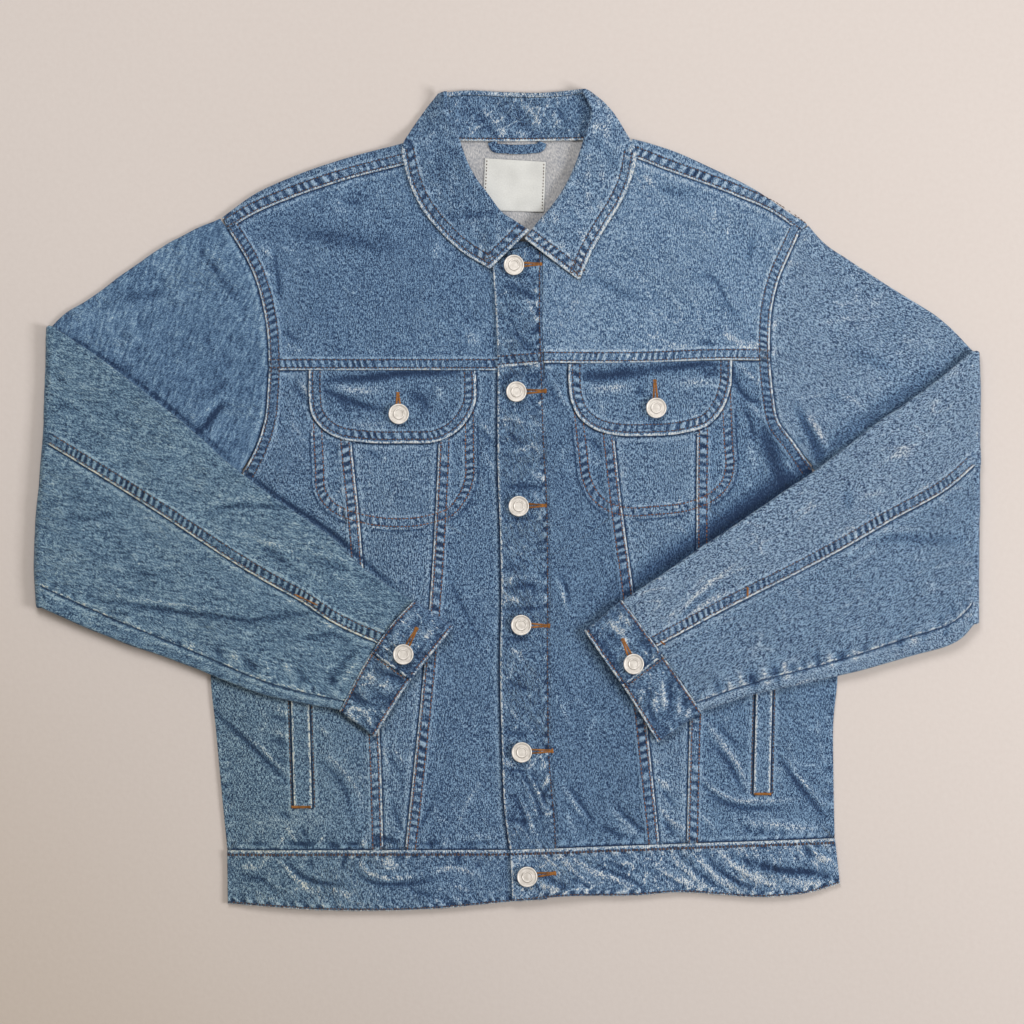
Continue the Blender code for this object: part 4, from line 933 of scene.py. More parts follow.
def flat_panel(name, edges, size, middle, finish, wall=CLOTH, trims=(), relief=body_relief,
               spacing=1.5, extra=None, slot="denim", rests=(), lip=RIM, **borders):
    """A flat-laid panel between four edges on a height function, with its seams and creases."""
    u, v = grid(spans(size[0], spacing), spans(size[1], spacing))
    plan = drawn_in(spanned(*edges, u, v), by=SEAM_GAP / 2 + 0.1, **borders)
    plan = facing_up(raised(plan, 0.0), len(u) // 2, u.shape[1] // 2)[..., :2]
    x, y = plan[..., 0], plan[..., 1]
    lift, wear_and_shade = relief(x, y)
    if extra is not None:
        more_lift, more_wear_and_shade = extra(x, y)
        lift, wear_and_shade = lift + more_lift, wear_and_shade + more_wear_and_shade
    return cloth(name, raised(plan, middle(x, y)), finish, wall, (x, y),
                 whole_look(x, y, trims, wear_and_shade, lift), lip=lip, slot=slot)


def placed_on(table, amount=0.0, seed=0):
    """The creases of a table as a piece's further height, with painted shade in their troughs and worn
    paleness on their crests, and thin worn lines if asked for.
    """
    def relief(x, y):
        placed = creased(x, y, table)
        crisp = amount * lines_in(field(x, y, 16, seed, -0.9, 2.4), 0.11) if amount else 0.0
        return placed + 0.3 * crisp, trough_shade_crest_wear(placed, 1.25, 0.95) + crisp
    return relief


def no_relief(x, y):
    return np.zeros(x.shape), np.zeros(x.shape)


def fronts(denim):
    """Front yokes, and each side's three panels below it. Gives the seams' lines."""
    lines = front_lines()
    ends = np.array([0.0, 1.0])
    front_edges = {"right": [(30, 107), (29.5, 160), (30, 212)],
                   "left": [(30.4, 113), (29.2, 140), (29.6, 212)]}
    for side, middle, edge_up in (("right", front_middle, UNDERLAP_EDGE),
                                  ("left", left_front_middle, BAND_SEAM)):
        line = lines[side]
        head = cornered(SHOULDER_SEAM[side], NECK_SEAM[side], NECK_POINT)
        edges = (YOKE_SEAM[side], head, ARMHOLE_UPPER[side][::-1], front_edges[side])
        flat_panel(f"yoke_front_{side}", edges, (235, 150), middle, denim[side], rests=["back_panel"],
                   trims=[("armhole", line["armhole"]), ("yoke", line["yoke"]), ("lapped", line["shoulder"])])
        top = YOKE_SEAM[side][-1]
        seams = [cornered(SIDE_SEAM[side][::-1], ARMHOLE_LOWER[side][::-1], ARMPIT), line["outer"],
                 line["inner"], [p for p in edge_up if p[1] < top[1]] + [top]]
        welt = WELT[side]
        own = {"side": [("armhole", line["armhole"]), ("felled", line["outer"]), ("side", line["side"])],
               "middle": [("lapped", line["outer"]), ("lapped", line["inner"])],
               "centre": [("felled", line["inner"])]}
        own["side"] += [("slit", fine([(foot, welt["low"]), (head, welt["high"])]))
                        for foot, head in zip(welt["foot"], welt["head"])]
        if side == "right":
            own["centre"].append(("shadow", fine(BAND_EDGE, 60)))
        shared = [("pocket", line["pocket"]), ("shadow", fine(FLAP[side], 80)), ("lapped", line["yoke"]),
                  ("gathered", line["waist"])]
        for name, outer, inner, width in (("side", *seams[:2], 110), ("middle", *seams[1:3], 80),
                                          ("centre", *seams[2:], 95)):
            foot, head = zip(read(outer, ends), read(inner, ends))
            flat_panel(f"front_{name}_{side}", (foot, head, outer, inner), (width, 395), middle, denim[side],
                       trims=own[name] + shared, rests=["back_panel"])
    return lines


YOKE_CROSSING = np.linspace((-8, 109.6), (32, 112.9), 12)  # the yoke's seam, over the front band


def bands(denim):
    """Front band and the waistbands."""
    flat_panel("front_band", ([BAND_EDGE[0], BAND_SEAM[0]], [BAND_EDGE[-1], BAND_SEAM[-1]],
                              BAND_EDGE, BAND_SEAM), (42, 500), band_middle, denim["placket"], FACED,
               trims=[("plain", fine(BAND_EDGE, 60)), ("row", fine(BAND_SEAM, 60)),
                      ("crossing", YOKE_CROSSING)],
               spacing=1.2, rests=["front_centre_right"], extra=placed_on(BAND_CREASES, 0.46, 37))
    for side, middle, inwards, crisp in (("right", waist_middle, -1.2, 0.30),
                                         ("left", waist_over, 1.2, 0.75)):
        hem, head = HEM[side], WAIST_HEAD[side]
        near, far = [hem[0], head[0]], [hem[-1], head[-1]]
        trims = [("waist", fine(head)), ("row", beside(fine(hem, 70), inwards))]
        if side == "left":
            trims.append(("plain", np.array(far, float)))
        flat_panel(f"waistband_{side}", (hem, head, near, far), (270, 44), middle, denim["band"], DOUBLE,
                   trims=trims, spacing=1.2, rests=["waistband_back"], lip=DOUBLE_RIM,
                   extra=placed_on(WAIST_CREASES, crisp, 71))


def back(denim, wrong):
    """Back panel and waistband, hidden under the front, and the yoke that shows in the neck."""
    seam = [(-197.8, 118), (-80, 116), (60, 116), (217.6, 122)]
    sides = [cornered(SIDE_SEAM[s][::-1], ARMHOLE_LOWER[s][1:][::-1] + [corner], ARMPIT)
             for s, corner in (("right", seam[0]), ("left", seam[-1]))]
    waist = [(-232.5, -292), (0, -291), (272, -282)]
    flat_panel("back_panel", (waist, seam, *sides), (500, 400), back_middle, wrong, spacing=6,
               relief=no_relief)
    hem = [(-231, -334), (-147, -339.5), (-50, -337), (50, -328.5), (134, -325), (224, -328), (275, -318)]
    ends = ([(-231, -334), (-232.5, -292)], [(275, -318), (272, -282)])
    flat_panel("waistband_back", (hem, waist, *ends), (500, 44), lambda x, y: DOUBLE / 2 + 0 * x,
               denim["band"], DOUBLE, spacing=5, relief=no_relief)
    radius = (HOLLOW + FULLNESS) / 2
    inset = radius + CLOTH / 2
    count = 15 * COARSE
    shares = np.linspace(0, 1, count + 1)
    tops = []
    for side, order in (("right", 1), ("left", -1)):
        edge = path(SHOULDER_EDGE[side], shares)
        outward = order * left_of(edge)
        edge = edge - inset * outward
        tops.append(edge)
        base = back_middle(edge[:, 0], edge[:, 1])
        rows = []
        for angle in np.linspace(0, np.pi, 2 * COARSE + 1):
            rows.append(raised(edge + radius * np.sin(angle) * outward,
                               base + radius * (1 - np.cos(angle))))
        strip = path(SHOULDER_SEAM[side], shares)
        for share in np.linspace(0, 1, 3 * COARSE + 1)[1:]:
            plan = edge + share * (strip - edge - SEAM_GAP / 2 * unit(strip - edge))
            blend = step(share / 0.4)
            flat = front_middle(plan[:, 0], plan[:, 1])
            rows.append(raised(plan, (1 - blend) * (base + 2 * radius) + blend * flat))
        points = np.stack(rows)[::-1, ::order]
        x, y = points[..., 0], points[..., 1]
        on_top = step((points[..., 2] - base.mean() - radius) / radius)
        lift, wear_and_shade = body_relief(x, y)
        over = np.concatenate([[SHOULDER_EDGE[side][0]], fine(ARMHOLE_UPPER[side])])
        trims = [("armhole", over), ("felled", fine(SHOULDER_SEAM[side], 60))]
        look = whole_look(x, y, trims, wear_and_shade, lift * on_top)
        look["lift"] = look["lift"] * on_top
        cloth(f"shoulder_{side}", points, denim[side], CLOTH, (x, y + 7), look, nodes=["back_yoke"])
    neck = np.stack([np.linspace(-62, 79, count + 1), np.full(count + 1, 299.3)], axis=1)
    top = np.concatenate([tops[0], neck[1:-1], tops[1][::-1]])
    foot = path(seam, np.linspace(0, 1, len(top)))
    width = (len(top) - 1) // COARSE * COARSE
    pick = np.linspace(0, len(top) - 1, width + 1).round().astype(int)
    top, foot = top[pick], foot[pick]
    rise = np.linspace(0, 1, spans(180, 2.2) + 1)
    sides = [path([end] + ARMHOLE_UPPER[s][::-1][1:-1] + [tuple(corner)], rise)
             for s, end, corner in (("right", seam[0], top[0]), ("left", seam[-1], top[-1]))]
    across = np.linspace(0, 1, width + 1)[None, :, None]
    rise = rise[:, None, None]
    floor = (1 - rise) * foot + rise * top
    floor = floor + (1 - across) * (sides[0][:, None] - floor[:, :1])
    floor = floor + across * (sides[1][:, None] - floor[:, -1:])
    floor = drawn_in(floor, by=HIDDEN_GAP / 2)
    x, y = floor[..., 0], floor[..., 1]
    lift = 0.22 * field(x, y, 34, 61) + 0.10 * field(x, y, 15, 62)
    lift = np.clip(lift, -0.3, 0.45) * step((y - 200) / 20)
    cloth("back_yoke", raised(floor, back_middle(x, y)), wrong, CLOTH, (x, y), whole_look(x, y, lift=lift))


def hung(rim):
    """Four edges of a pocket piece, from its outline: the curved foot, the head and the two sides."""
    return rim[1:-1], [rim[0], rim[-1]], [rim[1], rim[0]], [rim[-2], rim[-1]]


def pockets(denim, wrong):
    """Pocket bags inside the fronts, the flaps over them, and the hand pockets' welts."""
    for side, front in (("right", front_middle), ("left", left_front_middle)):
        flat_panel(f"pocket_bag_{side}", hung(POCKET_BAG[side]), (140, 120), bag_middle, wrong, BAG,
                   spacing=5, relief=no_relief, slot="inside_cloth")
        flat_panel(f"flap_{side}", hung(FLAP[side]), (150, 62),
                   lambda x, y, front=front: front(x, y) + CLOTH / 2 + REST_GAP + DOUBLE / 2,
                   denim[side], DOUBLE, trims=[("hemmed", fine(FLAP[side], 80))], spacing=1.1,
                   extra=placed_on(FLAP_CREASES[side]), lip=DOUBLE_RIM, rests=[f"front_middle_{side}"])
        welt = WELT[side]
        foot = [(x, welt["low"]) for x in welt["foot"]]
        head = [(x, welt["high"]) for x in welt["head"]]
        long = ([foot[0], head[0]], [foot[1], head[1]])
        flat_panel(f"welt_{side}", (foot, head, *long), (15, 134), welt_middle, denim[side],
                   trims=[("plain", fine(edge)) for edge in long], spacing=0.9, rests=[f"front_side_{side}"])


FLAP_CREASES = {
    "right": [
        (3.4, -0.9, -157, 97, -139, 99, -117, 100, -89, 104, -56, 105, -34, 105),
        (2.8, -0.8, -155, 92, -139, 85, -121, 78, -102, 74), (4, 0.55, -147, 94, -122, 90, -101, 92),
        (4, -0.55, -82, 87, -69, 81, -67, 71), (3, 0.45, -59, 95, -53, 82), (3, 0.4, -131, 62, -97, 61),
        (2.4, -0.4, -141, 84, -131, 72),
    ],
    "left": [
        (5, -0.9, 57, 104, 77, 102, 95, 104, 118, 106), (3, -0.8, 110, 107, 143, 110, 165, 112, 183, 110),
        (4, 0.6, 65, 92, 87, 92, 105, 94), (4, 0.55, 137, 94, 160, 97, 177, 95),
        (3, -0.45, 160, 105, 178, 104), (3, -0.5, 110, 95, 110, 84), (3, -0.4, 115, 62, 130, 64),
        (3, 0.4, 77, 82, 80, 69),
    ],
}


# ---- sleeves ----
def sleeve_edges(side):
    """The four edges of the upper arm and of the forearm, and the way to the elbow."""
    mirror = 1 if side == "right" else -1
    inward = np.array([mirror * ELBOW_AXIS, 0.0])
    fold = [tuple(np.array(p) + inward) for p in ELBOW_EDGE[side]]
    armhole = cornered([SLEEVE_TOP[side][0]] + ARMHOLE_UPPER[side],
                       ARMHOLE_LOWER[side][:-1] + [SLEEVE_UNDER[side][0]], YOKE_END)
    upper = (SLEEVE_TOP[side][:-1] + [fold[0]], SLEEVE_UNDER[side][:-1] + [fold[-1]], armhole, fold)
    fore = ([fold[0]] + FOREARM_UPPER[side][1:], [fold[-1]] + FOREARM_LOWER[side][1:], fold,
            CUFF_SEAM[side])
    return upper, fore, mirror


def sleeve_points(side, around, stations):
    """Middle points of a flattened sleeve, folded over at the elbow, with the forearm on top.

    around has a row for each point of the section: the share across from the upper edge, and
    the turn, 0 on the cloth that faces the surface at the upper arm and 180 degrees on the
    cloth that faces up there, with the turned edges between. The folded part of the section
    keeps its distance from the elbow's axis while it turns half round it.
    """
    share, turn = around[:, 0], np.radians(around[:, 1])
    upper, fore, mirror = sleeve_edges(side)
    arm, bend, hand = stations
    bulge = (1 - np.cos(turn)) / 2
    puff = SLEEVE_PUFF * 4 * share * (1 - share)
    edge = SLEEVE_ROUND + CLOTH / 2
    lying = CLOTH / 2 + (2 * SLEEVE_ROUND + puff) * bulge
    turned = CLOTH / 2 + (2 * SLEEVE_ROUND + puff) * (1 - bulge)

    def section(edges, along):
        """Plan of the sections at shares along one stretch, with their turned edges."""
        ends = [spanned(*edges, along, np.full_like(along, end)) for end in (0.0, 1.0)]
        width = np.linalg.norm(ends[1] - ends[0], axis=1)[:, None]
        across = np.clip(share, edge / width, 1 - edge / width)
        plan = spanned(*edges, np.broadcast_to(along[:, None], across.shape), across)
        way = -mirror if edges is fore else mirror
        out = [-way * left_of(ends[0]), way * left_of(ends[1])]
        reach = SLEEVE_ROUND * np.sin(turn)[None, :, None]
        low_side = (share < 0.5)[None, :, None]
        return plan, reach * np.where(low_side, out[0][:, None], out[1][:, None])

    first, first_out = section(upper, np.linspace(0, 1, arm + 1))
    last, last_out = section(fore, np.linspace(0, 1, hand + 1))
    rows = [raised(first + first_out, lying)]
    for angle in np.linspace(0, np.pi, bend + 1)[1:-1]:
        away = (ELBOW_AXIS - lying) * np.sin(angle)
        part = angle / np.pi
        plan = first[-1] + (1 - part) * first_out[-1] + part * last_out[0]
        plan = plan - mirror * np.stack([away, 0 * away], axis=1)
        rows.append(raised(plan, ELBOW_AXIS - (ELBOW_AXIS - lying) * np.cos(angle))[None])
    plan = last + last_out
    past = np.linalg.norm(last - last[:1], axis=-1) / 60
    height = (1 - step(past)) * (2 * ELBOW_AXIS - lying)
    height = height + step(past) * (forearm_rest(plan[..., 0]) + turned)
    rows.append(raised(plan, height))
    return np.concatenate(rows)


def sleeves(denim):
    """Top sleeve, which wraps round both edges, and under sleeve between the lengthwise seams."""
    slit = 0.0015  # half the gap at a lengthwise seam, a share of the width
    turn = np.array([30.0, 60, 90, 120, 150])
    n1, n2, n3 = (max(1, int(k / FINENESS)) for k in (46, 110, 10))
    flat = np.stack([np.linspace(0, 1, n2 + 1), np.full(n2 + 1, 180.0)], axis=1)
    part = [np.stack([np.linspace(BACK_ARM_SEAM - slit, 0, n1 + 1), np.zeros(n1 + 1)], axis=1),
            np.stack([0 * turn, turn], axis=1), flat, np.stack([0 * turn + 1, turn[::-1]], axis=1),
            np.stack([np.linspace(1, UNDERARM_SEAM + slit, n3 + 1), np.zeros(n3 + 1)], axis=1)]
    around = np.concatenate(part)
    keep = np.linspace(0, len(around) - 1, (len(around) - 1) // COARSE * COARSE + 1)
    around = np.stack([np.interp(keep, np.arange(len(around)), around[:, k]) for k in (0, 1)], axis=1)
    n4 = spans(105, 1.8)
    under = np.stack([np.linspace(BACK_ARM_SEAM + slit, UNDERARM_SEAM - slit, n4 + 1),
                      np.zeros(n4 + 1)], axis=1)
    arm, bend, hand = spans(160, 2.0), 2 * COARSE, spans(370, 1.8)
    seams = {}
    for side in SIDES:
        _, fore, mirror = sleeve_edges(side)
        along = np.linspace(0, 1, 90)
        seam = [spanned(*fore, along, np.full_like(along, s)) for s in (BACK_ARM_SEAM, UNDERARM_SEAM)]
        seams[side] = seam
        armhole = fine(cornered(ARMHOLE_UPPER[side], ARMHOLE_LOWER[side], YOKE_END), 70)
        for name, rows in (("sleeve_top", around), ("sleeve_under", under)):
            points = sleeve_points(side, rows, (arm, bend, hand))
            for end, inner in ((0, 1), (-1, -2)):
                points[end] += 0.3 * unit(points[inner] - points[end])
            run, wide = run_of(points, 0), run_of(points, 1)
            top = name == "sleeve_top"
            upward = normals_of(points)[3, np.argmax(rows[:, 1] > 170) + 5 if top else 5, 2] > 0
            if upward != top:
                points, run, wide = [a[:, ::-1] for a in (points, run, wide)]
            up = normals_of(points)[..., 2]
            fore_part = step((np.arange(len(points)) - arm - bend / 2) / 6)[:, None]
            x, y = points[..., 0], points[..., 1]
            shows = step((up - 0.2) / 0.5)
            trims = {"sleeve_top": [("sleeve", seam[0]), ("lapped", seam[1])],
                     "sleeve_under": [("underarm", seam[1]), ("lapped", seam[0])]}[name]
            look = trimmed(x, y, trims)
            cap = trimmed(x, y, [("cap", armhole)])
            on = shows * fore_part
            look["lift"] = look["lift"] * on
            look["rope"] = look["rope"] * on
            look["edge"] = np.where(on > 0.5, look["edge"], FAR)
            near_cap = (shows * (1 - fore_part) > 0.5) & (cap["edge"] < 14)
            for key in cap:
                look[key] = np.where(near_cap, cap[key], look[key])
            arm_x = x + mirror * 1000 * (1 - fore_part)
            soft = 0.26 * field(arm_x, y, 55, 31)
            soft = soft + 0.13 * field(arm_x, y, 20, 32, angle=-0.4 * mirror, stretch=2.0)
            lines = lines_in(field(arm_x, y, 19, 33, angle=-0.45 * mirror, stretch=2.4), 0.2)
            where = step(0.5 * field(arm_x, y, 70, 34) + 0.4)
            placed = fore_part * creased(x, y, FOREARM_CREASES)
            placed = (placed + (1 - fore_part) * creased(x, y, UPPER_ARM_CREASES)) * shows
            calm = step(np.minimum(run, run[-1] - run) / 8)
            gentle = np.where(up > 0, 1.0, 0.4) * calm
            look["lift"] = np.clip(look["lift"] + gentle * (soft + 0.18 * lines * where) + placed, -0.9, 1.8)
            # thin worn lines, and the creases: troughs darker as painted shade, crests paler as worn cloth
            look["wear_and_shade"] = 0.34 * lines * where + 0.85 * np.clip(placed, -1, 1) + 0 * x
            cloth(f"{name}_{side}", points, denim[f"sleeve_{side}"], CLOTH, (wide + 300, run), look)
    return seams


# ---- cuffs ----
CUFF_DEPTH = 40


def cuffs(denim):
    """One strip wound once round the wrist, its end lapped on top."""
    ends = {}
    for side in SIDES:
        wide = np.linalg.norm(np.subtract(CUFF_SEAM[side][0], CUFF_SEAM[side][-1]))
        table = np.array(CUFF_LAP + CUFF_ROUND + CUFF_UNDERLAP) * (wide, 1.0)
        around = path(table, np.linspace(0, 1, spans(240, 1.2) + 1)) / (wide, 1.0)
        share = np.clip(around[:, 0], 0, 1)
        seam, edge = path(CUFF_SEAM[side], share), path(CUFF_EDGE[side], share)
        along = np.linspace(0, 1, spans(CUFF_DEPTH, 1.2) + 1)[:, None, None]
        plan = drawn_in((1 - along) * seam + along * edge, near=False, far=False, head=False, by=2 * SEAM_GAP)
        points = facing_up(raised(plan, FOREARM_REST + FOREARM_STEP + around[:, 1]), 4, 4)
        x, y = points[..., 0], points[..., 1]
        up = normals_of(points)[..., 2]
        tab = np.array([path(CUFF_SEAM[side], 0.5), path(CUFF_EDGE[side], 0.5)])
        on_tab = step((points[..., 2] - ON_TAB) / 0.6)
        trims = [("single", fine(CUFF_SEAM[side])), ("single", fine(CUFF_EDGE[side]))]
        look = trimmed(x, y, trims)
        tabbed = trimmed(x, y, trims + [("single", tab)])
        for key in look:
            look[key] = np.where(on_tab > 0.5, tabbed[key], look[key])
        shows = step((up - 0.1) / 0.5)
        wrinkle = 0.20 * field(x, y, 22, 41 + len(side)) + 0.14 * field(x, y, 9, 42 + len(side), 0.8, 2.0)
        under = creased(x, y, CUFF_CREASES[side]) * shows * (1 - on_tab)
        over = creased(x, y, TAB_CREASES[side]) * shows * on_tab
        look["lift"] = look["lift"] * shows + wrinkle * np.where(up > 0, 1.0, 0.2) + under + 0.6 * over
        pale = 0.30 * step((look["edge"] - 3) / 8) - 0.22
        crisp = lines_in(field(x, y, 15, 43 + len(side), 0.9 if side == "left" else -0.5, 2.2), 0.13)
        crisp = crisp * step((look["edge"] - 3) / 4)
        look["lift"] += 0.25 * crisp * shows
        # darker near the cuff's seams and paler away from them, worn lines, and the wrinkles darker in their
        # troughs as painted shade and paler on their crests as worn cloth
        look["wear_and_shade"] = (pale + 0.16 * np.clip(wrinkle * 3, -1, 1) + 0.80 * crisp) * shows
        # the creases: troughs darker as painted shade, crests paler as worn cloth
        look["wear_and_shade"] += 0.9 * (under + over)
        run = run_of(points, 1)
        long = along[..., 0] * CUFF_DEPTH + 0 * run
        cloth(f"cuff_{side}", points, denim["band"], DOUBLE, (run, long), look,
              lip=DOUBLE_RIM)
        ends[side] = tab
    return ends


CUFF_CREASES = {
    "right": [
        (2.2, -0.9, -131, -159, -121, -167, -107, -170), (2, 0.9, -129, -172, -117, -178, -112, -188),
        (2.2, 0.7, -124, -152, -117, -147, -109, -150), (2.4, -0.7, -109, -140, -96, -147, -87, -150),
        (3, 0.5, -97, -159, -86, -155), (2.4, -0.7, -121, -185, -114, -178),
        (2.2, 0.8, -134, -172, -129, -180, -122, -185), (2.2, -0.6, -112, -159, -97, -170, -92, -177),
        (2.2, 0.5, -106, -177, -94, -172),
    ],
    "left": [
        (1.8, 0.9, 112, -157, 110, -170, 115, -185), (1.8, -0.8, 118, -159, 118, -173, 123, -190),
        (1.8, 0.8, 123, -162, 122, -177), (2, -0.9, 133, -150, 135, -167, 133, -178),
        (1.8, 0.9, 130, -147, 129, -164, 132, -177), (1.8, 0.8, 143, -159, 142, -172, 140, -183),
        (1.8, -0.8, 147, -164, 148, -177), (2.6, -0.7, 128, -188, 133, -195),
        (2.2, 0.6, 107, -162, 102, -159), (2, 0.7, 152, -172, 147, -183),
    ],
}
TAB_CREASES = {
    "right": [
        (3, 0.55, -102, -105, -89, -94, -79, -87), (2.2, 0.6, -96, -117, -87, -102, -74, -94),
        (2.4, -0.6, -107, -117, -97, -109, -92, -99), (2, -0.5, -84, -117, -77, -105, -69, -99),
        (3, 0.5, -101, -127, -94, -137), (2.6, -0.6, -82, -137, -76, -130, -69, -120),
        (2.4, 0.5, -69, -117, -61, -107), (2, 0.45, -79, -110, -69, -112),
        (2.2, -0.5, -96, -140, -86, -144),
    ],
    "left": [
        (2.4, 0.7, 84, -99, 90, -107, 99, -110), (2.2, 0.6, 89, -94, 97, -99, 104, -107),
        (2.2, -0.6, 82, -109, 90, -115, 92, -125), (2.4, 0.6, 94, -114, 100, -120),
        (3, 0.6, 118, -134, 123, -129), (2.6, -0.6, 110, -117, 117, -125, 118, -132),
        (2.4, -0.5, 77, -114, 84, -127, 90, -140), (2, 0.5, 107, -107, 110, -117),
    ],
}


# ---- collar ----
def collar(denim):
    """Two leaves that roll over at the neck, the fall behind it and the band inside it."""
    outlines = {}
    for side in SIDES:
        table = np.array(COLLAR_LEAF[side], float)
        count = spans(175, 1.3)
        stations = path(table, np.linspace(0, 1, count + 1))
        roll, edge = stations[:, None, :2], stations[:, None, 2:]
        wide = np.linalg.norm(edge - roll, axis=-1, keepdims=True)
        way = (edge - roll) / wide
        behind = np.clip(wide * 0.28, 0, LEAF_TUCK)
        inset = np.minimum(LEAF_RADIUS + DOUBLE / 2, wide * 0.45)
        start = roll + inset * way
        flat, arc, tuck = spans(62, 1.3), 2 * COARSE, COARSE
        across = np.linspace(1, 0, flat + 1)[None, :, None]
        leaf = start + across * (edge - start)
        turn = np.linspace(0, np.pi, arc + 1)[1:-1][None, :, None]
        rolled = start - LEAF_RADIUS * np.sin(turn) * way
        tucked = start + np.linspace(0, 1, tuck + 1)[None, :, None] * behind * way
        crest = front_crest(start[..., 0], start[..., 1]) + LEAF_GAP + DOUBLE / 2
        lie = front_crest(leaf[..., 0], leaf[..., 1]) + LEAF_GAP + DOUBLE / 2
        leaf_z = lie + 2 * LEAF_RADIUS * (1 - across[..., 0])
        past_shoulder = step((2.6 - np.linspace(0, 8, count + 1)[:, None]) / 1.3)
        leaf_z = leaf_z + past_shoulder * across[..., 0] ** 2 * (DOUBLE + REST_GAP + DOUBLE / 2 - leaf_z)
        turn_z = crest + LEAF_RADIUS * (1 + np.cos(turn[..., 0]))
        tuck_z = front_crest(tucked[..., 0], tucked[..., 1]) + LEAF_GAP + DOUBLE / 2
        points = np.concatenate([raised(leaf, leaf_z), raised(rolled, turn_z),
                                 raised(tucked, tuck_z)], axis=1)
        points = facing_up(points, count // 2, 5)
        x, y = points[..., 0], points[..., 1]
        up = normals_of(points)[..., 2]
        shows = step((up - 0.1) / 0.5)
        outline = np.concatenate([fine(table[3:, 2:], 60), [table[-1, :2]]])
        look = trimmed(x, y, [("hemmed", outline)])
        soft = 0.22 * field(x, y, 42, 51) + 0.10 * field(x, y, 15, 52)
        placed = creased(x, y, LEAF_CREASES[side])
        look["lift"] = (look["lift"] + soft + placed) * shows
        # the creases: troughs darker as painted shade, crests paler as worn cloth; and a random mottle
        look["wear_and_shade"] = 0.6 * np.clip(placed, -1, 1) + 0.12 * np.clip(field(x, y, 12, 53), -1, 2) * shows
        look["edge"] = np.where(shows > 0.3, look["edge"], FAR)
        cloth(f"collar_leaf_{side}", points, denim[side], DOUBLE, (x + 400, y), look,
              lip=LEAF_RIM)
        outlines[side] = outline
    plan = spanned([(-84, 285), (103, 285)], COLLAR_ROLL, FALL_SIDE["right"], FALL_SIDE["left"],
                   *grid(spans(190, 2.4), spans(50, 3)))
    low = DOUBLE / 2
    rows = [raised(plan, low)]
    for angle in np.linspace(0, np.pi, 2 * COARSE + 1)[1:]:
        over = plan[-1] + np.array([0.0, ROLL_RADIUS * 1.6 * np.sin(angle)])
        rows.append(raised(over, low + ROLL_RADIUS * (1 - np.cos(angle)))[None])
    points = facing_up(np.concatenate(rows), -1, 5)
    x, y = points[..., 0], points[..., 1]
    look = whole_look(x, y)
    look["wear_and_shade"] = look["wear_and_shade"] + 0.35 * step((points[..., 2] - low - 1.2) / 1)
    cloth("collar_fall", points, denim["band"], DOUBLE, (x, y + 30), look)
    head = [(x, y - 0.6) for x, y in COLLAR_ROLL]
    sides = ([COLLAR_BAND_FOOT[0], (-56, 316), head[0]], [COLLAR_BAND_FOOT[-1], (75, 316), head[-1]])

    def wrinkled(x, y):
        """Diagonal wrinkles across the band inside the neck."""
        lines = lines_in(field(x, y, 14, 57, angle=1.0, stretch=2.8), 0.24)
        placed = creased(x, y, COLLAR_BAND_CREASES)
        # worn lines, and the creases: troughs darker as painted shade, crests paler as worn cloth
        return 0.25 * lines + placed, 0.45 * lines + 0.7 * np.clip(placed, -1, 1)
    flat_panel("collar_band", (COLLAR_BAND_FOOT, head, *sides), (115, 34),
               lambda x, y: low + 2 * ROLL_RADIUS + 0 * x, denim["band"], spacing=1.1, extra=wrinkled,
               trims=[("single", np.array(COLLAR_BAND_FOOT, float))], rests=["back_yoke"])
    return outlines


LEAF_CREASES = {
    "right": [
        (2.4, -0.8, -9.5, 238, -30, 235, -47.5, 234), (2.4, 0.5, -14, 232, -44, 228),
        (5, -0.4, -40, 290, -62, 268), (3, 0.4, -60, 306, -72, 286),
    ],
    "left": [
        (6, -0.4, 62, 300, 84, 286, 96, 268), (4, -0.35, 28, 226, 60, 210), (4, 0.45, 72, 318, 84, 298),
        (3, -0.4, 48, 244, 60, 226),
    ],
}
COLLAR_BAND_CREASES = [
    (2.6, -0.7, -30, 322, -18, 312, -10, 300), (2.2, 0.6, -24, 328, -12, 316, -2, 303),
    (2.6, -0.7, 6, 326, 14, 314, 22, 302), (2, 0.6, 14, 330, 24, 316, 30, 304),
    (2.4, 0.5, 34, 328, 44, 306), (2.4, -0.6, 40, 328, 52, 306), (2.4, -0.5, -6, 330, 4, 312),
]


def neck(denim, label):
    """Hanger loop and bare label inside the back of the neck."""
    line = path(LOOP_LINE, np.linspace(0, 1, 10 * COARSE + 1))
    offsets = np.linspace(-LOOP_WIDTH / 2, LOOP_WIDTH / 2, 2 * COARSE + 1)[:, None, None]
    plan = line[None] + offsets * left_of(line)[None]
    plan[..., 1] = np.minimum(plan[..., 1], LOOP_TOP)
    points = raised(plan, back_middle(plan[..., 0], plan[..., 1]) + CLOTH + REST_GAP)
    points = facing_up(points, 4, 20)
    x, y = points[..., 0], points[..., 1]
    look = whole_look(x, y, wear_and_shade=-0.12, lift=0.1 * field(x, y, 10, 71))
    cloth("hanger_loop", points, denim["right"], CLOTH, (x, y), look, declared=False)
    foot, head = [(-20.5, 240), (30.5, 238.5)], [(-18.5, 283), (32, 280)]

    def rumpled(x, y):
        """Soft waves and one fold across the label."""
        return 0.14 * field(x, y, 20, 72) + creased(x, y, [(3.0, -0.25, -20, 262, 32, 256)]), 0 * x
    flat_panel("neck_label", (foot, head, [foot[0], head[0]], [foot[1], head[1]]), (52, 43), label_middle,
               label, LABEL, relief=rumpled, spacing=1.4, slot="label_cloth", rests=["back_yoke"])


